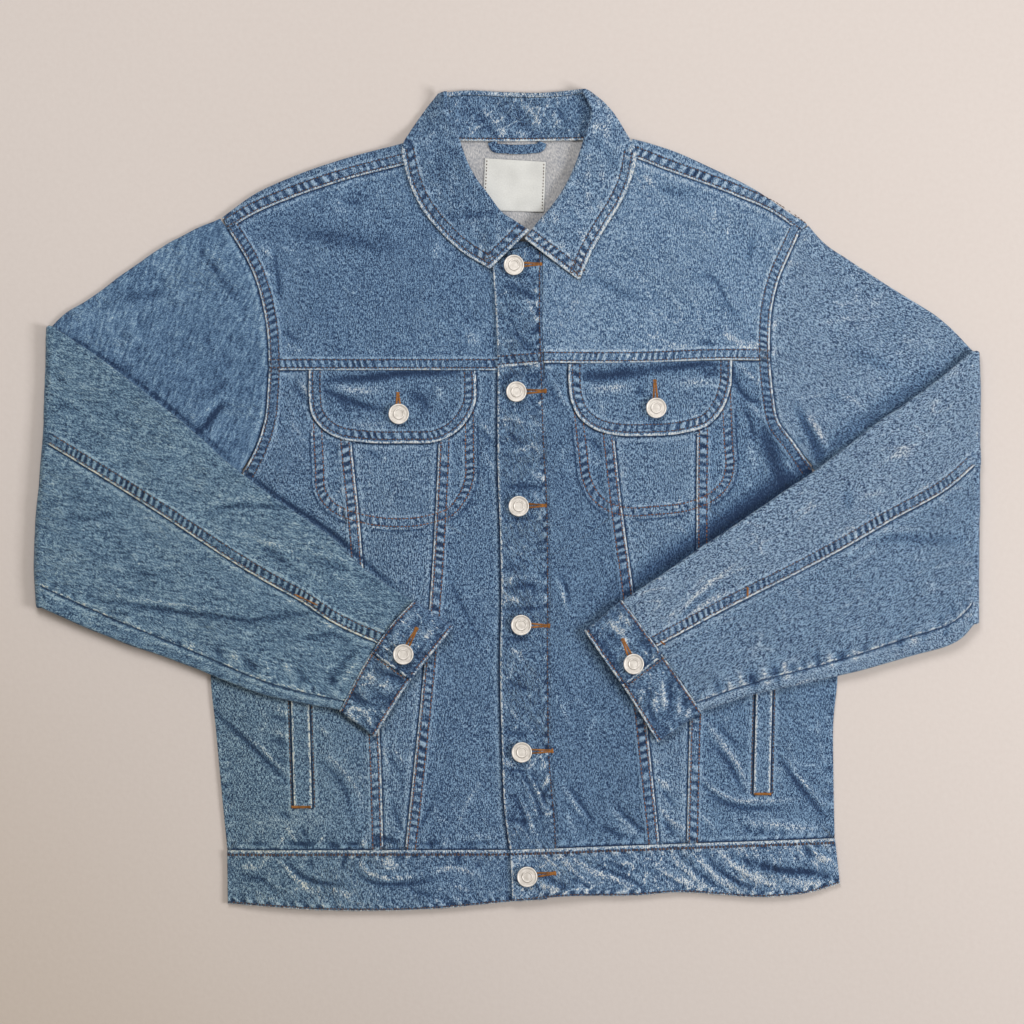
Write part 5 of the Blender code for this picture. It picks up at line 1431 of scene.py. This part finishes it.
# ---- buttons, thread, hem ----
def buttons(metal):
    """Turned buttons: a shank under a rolled rim, a flat ring, a groove and a raised middle."""
    profile = (BUTTON_RADIUS, BUTTON_HEIGHT) * np.array([
        (0.001, 0.0), (0.40, 0.0), (0.42, 0.05), (0.42, 0.30), (0.46, 0.34), (0.92, 0.36), (0.98, 0.44),
        (1.0, 0.60), (0.998, 0.80), (0.985, 0.92), (0.955, 0.985), (0.92, 1.0), (0.885, 0.985),
        (0.86, 0.94), (0.845, 0.915), (0.74, 0.905), (0.60, 0.90), (0.53, 0.905), (0.505, 0.945),
        (0.475, 0.965), (0.445, 0.95), (0.415, 0.90), (0.36, 0.89), (0.20, 0.90), (0.001, 0.905)])
    # How dark each ring of the profile is: most at the rim's outer side, at the foot of its inner side and
    # round both feet of the raised ring, a little on the flat parts.
    dark_rings = np.array([0, 0, 0, 0, 0, 0.5, 0.6, 0.5, 0.3, 0.1, 0, 0, 0, 0.35, 0.5, 0.1, 0.1, 0.9, 0.3, 0, 0,
                     0.5, 0.1, 0.1, 0.1])
    sides = 40
    turn = 2 * np.pi * np.arange(sides) / sides
    number = np.arange(len(profile) * sides).reshape(len(profile), sides)
    across = np.roll(number, -1, axis=1)
    faces = np.stack([number[:-1], across[:-1], across[1:], number[1:]], axis=-1).reshape(-1, 4).tolist()
    faces += [number[0, ::-1].tolist(), number[-1].tolist()]
    on_band = FACED + REST_GAP + CLOTH / 2 + SEAM_GAP
    places = [(f"button_band_{k}", x, y, front_middle(x, y) + on_band)
              for k, (x, y) in enumerate(BAND_BUTTONS, 1)]
    seat = WAIST_RISE + WAIST_LAP + DOUBLE / 2 + SEAM_GAP
    places.append(("button_waist", *WAIST_BUTTON, front_middle(*WAIST_BUTTON) + seat))
    for side in SIDES:
        seat = front_middle(*FLAP_BUTTON[side]) + CLOTH / 2 + REST_GAP + DOUBLE + SEAM_GAP
        places.append((f"button_flap_{side}", *FLAP_BUTTON[side], seat))
        seat = FOREARM_REST + FOREARM_STEP + CUFF_LAP[0][1] + DOUBLE / 2 + SEAM_GAP
        places.append((f"button_cuff_{side}", *CUFF_BUTTON[side], seat))
    for name, x, y, seat in places:
        ring = np.stack([x + profile[:, :1] * np.cos(turn), y + profile[:, :1] * np.sin(turn),
                         float(seat) + profile[:, 1:] + 0 * turn], axis=-1)
        made = object_of(f"turned_{name}", ring.reshape(-1, 3), faces, metal, [name])
        layer = made.data.attributes.new("dark_rings", "FLOAT", "POINT")
        layer.data.foreach_set("value", np.repeat(dark_rings, sides).astype(np.float32))


def stitched(kind):
    """Distances of a kind of seam's two rows of stitches from its edge."""
    return KINDS[kind]["row1"], KINDS[kind]["row2"]


TACK_PITCH = 0.62  # pitch of close-set stitches


def sewing(lines, seams, outlines, ends):
    """Every row of stitches, laid on the piece that it is sewn through."""
    for side in SIDES:
        line = lines[side]
        way = 1 if side == "right" else -1
        for d in stitched("felled"):
            for name in (f"yoke_front_{side}", f"front_side_{side}"):
                sew("brown_body", name, beside(line["armhole"], way * d))
            sew("brown_body", f"yoke_front_{side}", beside(line["yoke"], way * d))
            sew("brown_shoulder", f"shoulder_{side}", beside(line["shoulder"], way * d), above=ON_SHOULDER)
            sew("orange_body", f"front_side_{side}", beside(line["outer"], way * d))
            sew("orange_body", f"front_centre_{side}", beside(line["inner"], -way * d))
            sew("brown_sleeve", f"sleeve_top_{side}", beside(seams[side][0], way * d), above=ON_FOREARM)
        for d in stitched("pocket"):
            for name in ("side", "middle", "centre"):
                sew("orange_body", f"front_{name}_{side}", beside(line["pocket"], d))
        outline = fine(FLAP[side], 80)
        for d in stitched("hemmed"):
            sew("brown_flap", f"flap_{side}", beside(outline, way * d))
            sew("brown_collar", f"collar_leaf_{side}", beside(outlines[side], way * d), above=ON_LEAF)
        single = way * KINDS["single"]["row1"]
        for edge, by, above in ((fine(CUFF_SEAM[side]), single, ON_CUFF),
                                (fine(CUFF_EDGE[side]), -single, ON_CUFF), (ends[side], -single, ON_TAB)):
            sew("orange_cuff", f"cuff_{side}", beside(edge, by), above=above)
        for d in (2.9, 4.0):
            sew("brown_waist", f"waistband_{side}", beside(fine(WAIST_HEAD[side]), -way * d))
        welt = WELT[side]
        for k, by in ((0, -2.2), (1, 2.2)):
            foot, top = (welt["foot"][k] + by, welt["low"]), (welt["head"][k] + by, welt["high"])
            sew("brown_body", f"front_side_{side}", np.linspace(foot, top, 30))
    sew("brown_body", "front_band", beside(fine(BAND_SEAM, 60), KINDS["row"]["row1"]))
    for d in stitched("crossing"):
        sew("brown_body", "front_band", beside(YOKE_CROSSING, d))
    sew("brown_collar", "collar_band", beside(COLLAR_BAND_FOOT, KINDS["single"]["row1"]))
    for foot, head in (((-18.9, 241.5), (-16.9, 282)), ((28.9, 240), (30.4, 279))):
        sew("brown_label", "neck_label", np.linspace(foot, head, 20), pitch=2.6, length=1.5)
    for side in SIDES:
        way = 1 if side == "right" else -1
        sew("brown_waist", f"waistband_{side}", beside(fine(HEM[side], 70), way * 0.9), above=1.0)
    for name, above, *ends_of in BUTTONHOLES:
        hole = np.linspace(ends_of[:2], ends_of[2:], 24)
        for by in (-1.0, 1.0):
            narrowing = by * np.linspace(1.75, 0.55, len(hole))[:, None]
            sew("bright_holes", name, hole + narrowing * left_of(hole), TACK_PITCH, 1.9, True, above)
        end, way = hole[-1], hole[-1] - hole[-2]
        sew("bright_holes", name, np.linspace(end + way * 0.4, end + way * 3.4, 4), 0.55, 3.9, True, above)
    for name, above, length, *ends_of in BARTACKS:
        sew("bright_tacks", name, np.linspace(ends_of[:2], ends_of[2:], 24), TACK_PITCH, length, True, above)


LOOSE_ENDS = 330  # of each front waistband's hem


def fray():
    """Loose ends of thread along the raw hem: short grains that lean out of the cloth's edge."""
    rng = np.random.default_rng(5)
    for side in SIDES:
        way = 1 if side == "right" else -1
        line = fine(HEM[side], 90)
        count = LOOSE_ENDS
        at = np.sort(rng.uniform(0, len(line) - 1, count))
        x, y = (np.interp(at, np.arange(len(line)), line[:, k]) for k in (0, 1))
        along = np.stack([np.interp(at, np.arange(len(line)), np.gradient(line[:, k])) for k in (0, 1)], 1)
        along = unit(along)
        down = np.stack([along[:, 1], -along[:, 0]], axis=1) * way
        lean = rng.normal(0, 0.9, count)[:, None]
        length = rng.uniform(0.8, 2.6, count)
        ways = unit(down + lean * along)
        z = front_middle(x, y) + rng.uniform(-0.2, 1.6, count)
        place = np.stack([x, y], 1) + ways * (length * 0.25)[:, None] - down * 0.2
        middle = np.concatenate([place, z[:, None]], axis=1)
        slope = rng.uniform(-0.5, 0.2, count)[:, None]
        STITCHES.setdefault("white_fray", []).append(
            (middle, np.concatenate([ways, slope], axis=1), np.tile([0.0, 0.0, 1.0], (count, 1)), length))


# Buttonholes and bartacks: the piece, the height over which it is sewn, a tack's width, and the ends.
BUTTONHOLES = [
    ("front_band", 0, 10, 194.5, 26.5, 195), ("front_band", 0, 12, 89, 30, 89.6),
    ("front_band", 0, 14, -5.6, 30.5, -5.4), ("front_band", 0, 16, -104.8, 33, -105.2),
    ("front_band", 0, 17, -209.6, 36, -209), ("waistband_left", 0, 21, -312, 38, -310.5),
    ("flap_right", 0, -90.4, 76, -90.8, 87), ("flap_left", 0, 123, 81, 122.5, 97),
    ("cuff_right", ON_TAB, -84.5, -125, -75.8, -108.7), ("cuff_left", ON_TAB, 102.5, -132, 96, -117.5),
]
BARTACKS = [
    ("welt_right", 0, 2.6, -179, -255.6, -163, -255.6), ("welt_left", 0, 2.6, 205, -244.8, 219, -244.8),
    ("sleeve_top_right", ON_FOREARM, 1.5, -176, -79, -157, -88),
    ("sleeve_top_left", ON_FOREARM, 2.0, 199, -73, 199, -81),
    ("sleeve_top_left", ON_FOREARM, 1.6, 127, -118, 131, -121),
]


# ---- materials ----
class Graph:
    """A short way to write a material's nodes: each call adds one and gives its output."""

    def __init__(self, name):
        self.material = bpy.data.materials.new(name)
        self.material.use_nodes = True
        self.tree = self.material.node_tree
        self.shader = self.tree.nodes["Principled BSDF"]

    def put(self, socket, value):
        """Links an output to the socket, or sets the socket's own value."""
        if isinstance(value, bpy.types.NodeSocket):
            self.tree.links.new(value, socket)
        else:
            socket.default_value = value

    def node(self, kind, values=(), out=0, **settings):
        """Adds a node with these settings, and values for its sockets, in order or by name."""
        made = self.tree.nodes.new(f"ShaderNode{kind}")
        for key, value in settings.items():
            setattr(made, key, value)
        for key, value in values.items() if isinstance(values, dict) else enumerate(values):
            self.put(made.inputs[key], value)
        return made.outputs[out]

    def math(self, operation, *values):
        return self.node("Math", values, operation=operation)

    def added(self, first, *others):
        for value in others:
            first = self.math("ADD", first, value)
        return first

    def times(self, first, *others):
        for value in others:
            first = self.math("MULTIPLY", first, value)
        return first

    def centred(self, value, gain):
        """A noise made to swing about 0 by the gain."""
        return self.times(self.math("SUBTRACT", value, 0.5), gain)

    def clamped(self, value, low, high):
        return self.math("MINIMUM", self.math("MAXIMUM", value, low), high)

    def hump(self, value, centre, width):
        """1 where the value is at the centre, falling to 0 about a width away."""
        off = self.math("DIVIDE", self.math("SUBTRACT", value, centre), width)
        return self.math("EXPONENT", self.times(off, off, -1.0))

    def attribute(self, name, out="Vector"):
        return self.node("Attribute", attribute_name=name, out=out)

    def parts(self, vector):
        split = self.tree.nodes.new("ShaderNodeSeparateXYZ")
        self.put(split.inputs[0], vector)
        return split.outputs

    def noise(self, vector, scale, detail=2.0, roughness=0.5):
        return self.node("TexNoise", {"Vector": vector, "Scale": scale, "Detail": detail,
                                      "Roughness": roughness})

    def mapped(self, vector, scale, turn=0.0):
        """The place turned back by an angle, then scaled, so that what it drives leans that way."""
        return self.node("Mapping", {"Vector": vector, "Scale": [1 / part for part in scale],
                                     "Rotation": (0, 0, turn)}, vector_type="TEXTURE")

    def drawn(self, vector, scale, turn=0.0, detail=2.0, roughness=0.6):
        """A noise drawn out along the scales and the turn."""
        return self.noise(self.mapped(vector, scale, turn), 1.0, detail, roughness)

    def between(self, value, low, high, to_low=0.0, to_high=1.0, smooth=True):
        """The value brought from one range to another, softly at both ends or straight."""
        return self.node("MapRange", (value, low, high, to_low, to_high),
                         interpolation_type="SMOOTHSTEP" if smooth else "LINEAR")

    def ramp(self, value, stops):
        made = self.tree.nodes.new("ShaderNodeValToRGB")
        self.put(made.inputs[0], value)
        elements = made.color_ramp.elements
        while len(elements) < len(stops):
            elements.new(0.5)
        for element, (place, colour) in zip(elements, stops):
            element.position = place
            element.color = (*colour, 1.0)
        return made.outputs[0]

    def mix(self, share, first, second, blend="MIX"):
        second = (*second, 1.0) if isinstance(second, tuple) else second
        return self.node("Mix", {0: share, 6: first, 7: second}, out=2, data_type="RGBA", blend_type=blend)

    def finish(self, colour, roughness, height, depth, **settings):
        """The material, with its colour, roughness, bump of the given depth and further settings."""
        self.put(self.shader.inputs["Base Color"], colour)
        self.put(self.shader.inputs["Roughness"], roughness)
        for key, value in settings.items():
            self.put(self.shader.inputs[key.replace("_", " ")], value)
        self.put(self.shader.inputs["Normal"], self.node(
            "Bump", {"Distance": depth, "Strength": 1.0, "Height": height}))
        return self.material


# Colours of denim from its dark grain to the white of worn edges.
DEEP, MID, PALE = (0.012, 0.030, 0.078), (0.076, 0.150, 0.275), (0.212, 0.338, 0.488)
FROSTED, WORN = (0.37, 0.49, 0.62), (0.66, 0.69, 0.69)
STREAK = (110, 420, 150)  # how a streak of wear is drawn out
ARM_STEP = (0.0066, 0.0082)  # heights between the upper arm and the forearm, in metres
# How each material is washed: tone makes it paler, gain its grain stronger; crackle is the strength of
# the worn wrinkles, lean their angle; flow is the strength of the streaks along them, blotch of the
# mottle, worn of the worn seams, patchy of the marbling; fine_by makes the grain finer; the setting for a
# yellowish cast takes blue out, and is painted light: the warmer light towards the lower left. low_arm has
# the same for the upper arm, which lies low under the forearm.
WASHES = {
    # The left side's higher tone and the right side's lower one are partly their own wash and partly painted
    # light, the key lamp standing on the left side.
    "right": dict(tone=-0.025, gain=1.8),
    "left": dict(tone=0.02, gain=1.9, lean=-0.8),
    "band": dict(tone=-0.04, gain=1.8, crackle=2.4, lean=-1.0, flow=0.8, blotch=0.40, worn=0.52),
    "placket": dict(tone=-0.05, gain=2.0, crackle=3.0, lean=-1.0, flow=1.0, blotch=0.70, worn=0.52),
    "sleeve_right": dict(tone=0.02, gain=0.95, crackle=1.5, lean=-0.15, flow=1.05, blotch=0.1, fine_by=0.9,
                         patchy=0.5, painted_warm_light=0.85, low_arm=dict(gain=0.72, painted_warm_light=0.22, tone=-0.02, lean=1.2)),
    "sleeve_left": dict(tone=0.075, gain=3.9, crackle=1.3, lean=0.9, flow=0.30, blotch=0.1, fine_by=0.95,
                        patchy=0.6, low_arm=dict(gain=0.80, painted_warm_light=0.0, tone=-0.06, lean=0.1)),
}


def denim_material(name, tone, gain, crackle=1.0, lean=-0.9, flow=0.4, blotch=0.0, worn=0.36,
                   fine_by=1.0, patchy=1.0, painted_warm_light=0.0, low_arm=None):
    """Stonewashed denim: grain along the warp, worn wrinkles that lean one way, marbling, and the
    worn paleness and puckers of the seams; painted shade in the seams' grooves, just beyond the edges of
    laps, partly in the valleys of the puckers past the edges, and in the creases' troughs; and a painted
    yellowish cast of light towards the lower left."""
    g = Graph(name)
    times, added, centred = g.times, g.added, g.centred
    cloth_place = g.node("UVMap", uv_map="cloth")
    place = g.node("TexCoord", out=3)
    edge, row1, row2 = g.parts(g.attribute("trim"))
    phase, rope, wear_and_shade = g.parts(g.attribute("rope"))
    worn_edge, lapped, fold = g.parts(g.attribute("lap"))

    warp = g.drawn(cloth_place, (1200 * fine_by, 400 * fine_by, 900), 0.0, 1.0)
    fleck = g.drawn(place, (1350 * fine_by, 1500 * fine_by, 900), -0.95, 1.0)
    slub = g.drawn(cloth_place, (480, 62, 300), 0.0, 1.0)
    marble = g.noise(place, 46.0, 3.0, 0.6)
    cloud = g.noise(place, 9.0, 2.0, 0.5)
    speckle = added(centred(warp, 2.2 * gain), centred(fleck, 2.5 * gain), centred(slub, 0.45 * gain))
    speckle = times(g.math("TANH", times(speckle, 1.5)), 0.56, g.attribute("grain", out="Fac"))
    streaks = centred(g.drawn(place, STREAK, lean), 1.0)
    if low_arm:
        raised_part = g.between(g.parts(place)[2], *ARM_STEP)

        def by_arm(low, high):
            """A value for the upper arm, and one for the forearm raised over it."""
            return g.between(raised_part, 0.0, 1.0, low, high, smooth=False)
        speckle = times(speckle, by_arm(low_arm["gain"], 1.0))
        tone = by_arm(tone + low_arm["tone"], tone)
        across = centred(g.drawn(place, STREAK, low_arm["lean"]), 1.0)
        streaks = added(times(streaks, raised_part), times(across, g.math("SUBTRACT", 1.0, raised_part)))
        # painted light: a yellowish cast, set apart for the upper arm and the forearm
        painted_warm_light = by_arm(low_arm["painted_warm_light"], painted_warm_light)
    else:
        x, y, _ = g.parts(place)
        # painted light: a yellowish cast that grows towards the lower left, where the light is warmer
        painted_warm_light = times(g.between(x, -0.04, -0.20), g.between(y, 0.06, -0.12), 0.85)

    # worn wrinkles: thin lines where a drawn-out noise crosses its middle, in patches
    def worn_lines(scale, turn, width):
        off = g.math("ABSOLUTE", centred(g.drawn(place, scale, turn, 2.0, 0.55), 1.0))
        return g.between(off, 0.0, width, 1.0, 0.0)
    patches = g.between(g.noise(place, 24.0, 2.0, 0.6), 0.42, 0.62)
    wrinkles = times(patches, g.math("MAXIMUM", worn_lines((46, 130, 80), lean, 0.040),
                                     worn_lines((75, 200, 90), lean - 0.35, 0.045)))
    mottle = centred(g.noise(place, 150.0, 2.0, 0.6), 1.0)
    value = added(speckle, tone, 0.385, centred(marble, 0.16 * patchy), centred(cloud, 0.14),
                  times(wrinkles, 0.13 * crackle), times(streaks, flow), times(mottle, blotch))
    value = g.math("MINIMUM", value, 0.80)

    # seams: worn edge, sunk rows, puckers between the rows and past them, and a worn line; painted shade as
    # a dark line in the groove at a lapped edge and just beyond the edge of a lap, and partly in the darker
    # valleys of the puckers past the edge
    along = g.node("CombineXYZ", (times(phase, 1.6), times(edge, 0.10), 7.3))
    ragged = centred(g.noise(along, 1.0, 2.0, 0.6), 2.4)
    sine = g.math("SINE", times(phase, 2 * np.pi))
    wave = g.clamped(added(times(sine, 1.15), ragged), -1.0, 1.1)
    loose = g.clamped(added(times(sine, 0.35), times(ragged, 1.1)), -1.0, 1.0)
    wide = g.math("GREATER_THAN", row2, 0.0)
    last = g.math("MAXIMUM", row2, g.math("ADD", row1, 3.5))
    first_off, last_off = g.math("SUBTRACT", edge, row1), g.math("SUBTRACT", edge, row2)
    past = g.math("SUBTRACT", edge, last)
    inner = times(g.between(first_off, -0.3, 1.3), g.between(past, -1.2, 0.4, 1.0, 0.0))
    outer = times(g.between(past, -0.4, 0.6), g.between(past, 1.0, 9.0, 1.0, 0.0))
    under = times(g.between(edge, 0.6, 1.6), g.between(edge, 2.0, 11.0, 1.0, 0.0))
    # puckers past the edge: paler crests as worn cloth, and darker valleys partly painted shade
    loose = times(loose, added(times(outer, 0.5), times(fold, under, 0.8)))
    roped = times(rope, added(times(wave, inner), loose))
    halo = times(g.hump(past, 1.7, 1.0), wide, 0.34)
    # painted shade: dark at the edge of a piece that another laps over, with a pale worn line past it
    groove = added(times(g.hump(edge, 3.6, 1.5), 0.22), times(g.hump(edge, 0.0, 1.3), -0.70))
    # painted shade: a dark line just beyond the edge of a lap
    painted_shade_outside = times(g.hump(edge, -1.4, 0.9), -0.38)
    broken = g.drawn(place, (240, 240, 240))
    ridge = times(g.hump(edge, 0.45, 1.15), worn_edge, g.between(broken, 0.30, 0.68, 0.26, 0.80))
    rows = added(g.hump(first_off, 0.0, 0.75), g.hump(last_off, 0.0, 0.75))
    value = added(value, times(roped, 0.52), halo, times(groove, lapped), painted_shade_outside, times(rows, -0.32))
    # above 0 the worn value pales the cloth as worn denim; below 0 it darkens it, mostly as painted shade in
    # the creases' troughs and beside the forearms' edges
    value = added(g.math("MINIMUM", value, 0.84), times(g.math("MAXIMUM", wear_and_shade, 0.0), worn),
                  times(g.math("MINIMUM", wear_and_shade, 0.0), 0.62), ridge)

    colour = g.ramp(value, [(0.0, DEEP), (0.42, MID), (0.77, PALE), (0.90, FROSTED), (1.0, WORN)])
    # the yellowish cast of painted light, multiplied in
    colour = g.mix(painted_warm_light, colour, (1.07, 1.02, 0.86), "MULTIPLY")
    weft = g.ramp(g.math("ADD", speckle, 0.5), [(0.2, (0.20, 0.23, 0.27)), (0.7, (0.46, 0.48, 0.49))])
    colour = g.mix(g.attribute("inside", out="Fac"), colour, weft)
    height = added(times(speckle, 0.62), times(roped, 1.4), centred(marble, 0.9),
                   times(wrinkles, 0.9 * crackle), times(streaks, 3.0 * flow), times(mottle, 2.0 * blotch))
    return g.finish(colour, 0.92, height, depth=0.0004, Specular_IOR_Level=0.22, Sheen_Weight=0.10)


def wrong_material(name):
    """The wrong side of denim: pale weft with blue flecks in short diagonals. Where the attribute
    inside is 1, on the faces of the back that lie on the surface, it has the blue right side."""
    g = Graph(name)
    place = g.node("UVMap", uv_map="cloth")
    streaks = g.drawn(place, (1000, 420, 600), 0.3)
    marble = g.noise(place, 60.0, 3.0, 0.6)
    value = g.added(g.centred(streaks, 1.3), g.centred(marble, 0.5))
    colour = g.ramp(g.math("ADD", value, 0.5), [(0.1, (0.17, 0.19, 0.23)), (0.5, (0.40, 0.40, 0.41)),
                                               (0.9, (0.66, 0.64, 0.62))])
    grain = g.drawn(g.node("TexCoord", out=3), (1100, 420, 900), 0.0, 1.0)
    right_side = g.ramp(grain, [(0.30, DEEP), (0.50, MID), (0.70, PALE)])
    colour = g.mix(g.attribute("inside", out="Fac"), colour, right_side)
    return g.finish(colour, 0.95, value, depth=0.0003, Specular_IOR_Level=0.2)


def label_material():
    """Off-white woven tape."""
    g = Graph("label")
    place = g.node("UVMap", uv_map="cloth")
    weave = g.drawn(place, (900, 900, 900), roughness=0.5)
    soft = g.noise(place, 50.0, 2.0, 0.5)
    value = g.added(g.times(weave, 0.5), g.times(soft, 0.5))
    colour = g.ramp(value, [(0.3, (0.56, 0.56, 0.535)), (0.7, (0.70, 0.70, 0.67))])
    return g.finish(colour, 0.7, value, depth=0.0002, Specular_IOR_Level=0.3)


def thread_material(name, dark, light):
    """Twisted thread between a dark and a light colour."""
    g = Graph(name)
    place = g.node("TexCoord", out=3)
    patches = g.noise(place, 160.0, 2.0, 0.6)
    colour = g.ramp(patches, [(0.3, dark), (0.7, light)])
    twist = g.noise(place, 2200.0, 1.0, 0.5)
    return g.finish(colour, 0.75, twist, depth=0.0001, Specular_IOR_Level=0.3)


def metal_material():
    """Dull white metal with fine turning marks, darkened in rings of its profile and a little on its flat
    parts, and a few rubbed places.
    """
    g = Graph("button_metal")
    place = g.node("TexCoord", out=3)
    patches = g.noise(place, 260.0, 3.0, 0.6)
    colour = g.ramp(patches, [(0.3, (0.70, 0.65, 0.59)), (0.7, (0.90, 0.85, 0.79))])
    grains = g.noise(place, 900.0, 2.0, 0.6)
    # darkening by the rings of the profile, broken up by fine grains
    dark_ring_share = g.times(g.attribute("dark_rings", out="Fac"), g.between(grains, 0.2, 0.8, 0.45, 1.0))
    colour = g.mix(dark_ring_share, colour, (0.11, 0.085, 0.065))
    rough = g.between(patches, 0.3, 0.7, 0.40, 0.56)
    return g.finish(colour, rough, grains, depth=0.00004, Metallic=0.40)


def floor_material():
    """Pale buff paper, with painted shade: deeper and yellower towards the lower left corner, and darker
    towards the bottom.
    """
    g = Graph("floor")
    place = g.node("TexCoord", out=3)
    cloudy = g.noise(place, 1.3, 3.0, 0.5)
    grainy = g.noise(place, 240.0, 2.0, 0.5)
    value = g.added(g.times(cloudy, 0.7), g.times(grainy, 0.3))
    colour = g.ramp(value, [(0.3, (0.61, 0.545, 0.505)), (0.7, (0.66, 0.595, 0.555))])
    x, y, _ = g.parts(place)
    # painted shade: deeper and yellower towards the lower left corner
    corner_shade = g.between(g.math("ADD", x, y), -0.35, -0.95)
    colour = g.mix(corner_shade, colour, (0.97, 0.935, 0.87), "MULTIPLY")
    # painted shade: darker towards the bottom
    colour = g.mix(g.between(y, 0.1, -0.6), colour, (0.92, 0.915, 0.91), "MULTIPLY")
    return g.finish(colour, 0.75, grainy, depth=0.0001, Specular_IOR_Level=0.25)


# ---- stage ----
FLOOR_HALF = 6000.0
FLOOR_LEVEL = -0.12
CAMERA_HEIGHT = 3.0  # in metres, as the next two
FRONT_HEIGHT = 0.006  # the height at which the frame is FRAME_WIDTH wide
FRAME_WIDTH = 0.85


def stage_and_camera():
    """Pale floor, soft light from the upper right, and the camera straight above."""
    corners = np.array([(-1, -1), (1, -1), (1, 1), (-1, 1)]) * FLOOR_HALF
    mesh = bpy.data.meshes.new("floor")
    mesh.from_pydata((raised(corners, FLOOR_LEVEL) * MM).tolist(), [], [(0, 1, 2, 3)])
    mesh.materials.append(floor_material())
    floor = linked("floor", mesh)

    world = bpy.data.worlds.new("studio")
    bpy.context.scene.world = world
    world.use_nodes = True
    background = world.node_tree.nodes["Background"].inputs
    background["Color"].default_value = (1.0, 0.93, 0.84, 1.0)
    background["Strength"].default_value = 0.36
    for name, place, size, power, tint in (("key", (1.7, -0.3, 1.45), 0.8, 31.5, (0.97, 0.98, 1.0)),
                                           ("fill", (-0.3, 1.4, 1.9), 1.0, 27.0, (0.97, 0.98, 1.0))):
        light = bpy.data.lights.new(name, "AREA")
        light.size = size
        light.energy = power
        light.color = tint
        lamp = linked(name, light)
        lamp.location = place
        lamp.rotation_mode = "QUATERNION"
        lamp.rotation_quaternion = (-Vector(place)).to_track_quat("-Z", "Y")
    bpy.context.scene.view_settings.view_transform = "Standard"

    camera = bpy.data.cameras.new("camera")
    camera.sensor_width = 36.0
    camera.lens = camera.sensor_width * (CAMERA_HEIGHT - FRONT_HEIGHT) / FRAME_WIDTH
    made = linked("camera", camera)
    made.location = (0.0039, -0.0108, CAMERA_HEIGHT)
    made.rotation_euler = (0.0, 0.0, 0.0)
    bpy.context.scene.camera = made


# ---- all of it ----
def main():
    """Builds the stage, the materials and every piece."""
    stage_and_camera()
    denim = {key: denim_material(f"denim_{key}", **wash) for key, wash in WASHES.items()}
    wrong = wrong_material("denim_wrong_side")
    lines = fronts(denim)
    bands(denim)
    back(denim, wrong)
    pockets(denim, wrong)
    seams = sleeves(denim)
    ends = cuffs(denim)
    outlines = collar(denim)
    neck(denim, label_material())
    buttons(metal_material())
    sewing(lines, seams, outlines, ends)
    fray()
    stitch_objects({
        "brown": thread_material("thread_brown", (0.060, 0.040, 0.035), (0.17, 0.095, 0.06)),
        "orange": thread_material("thread_orange", (0.12, 0.055, 0.03), (0.30, 0.13, 0.05)),
        "bright": thread_material("thread_bright", (0.15, 0.062, 0.016), (0.45, 0.19, 0.045)),
        "white": thread_material("thread_white", (0.30, 0.34, 0.38), (0.70, 0.70, 0.68))})


main()
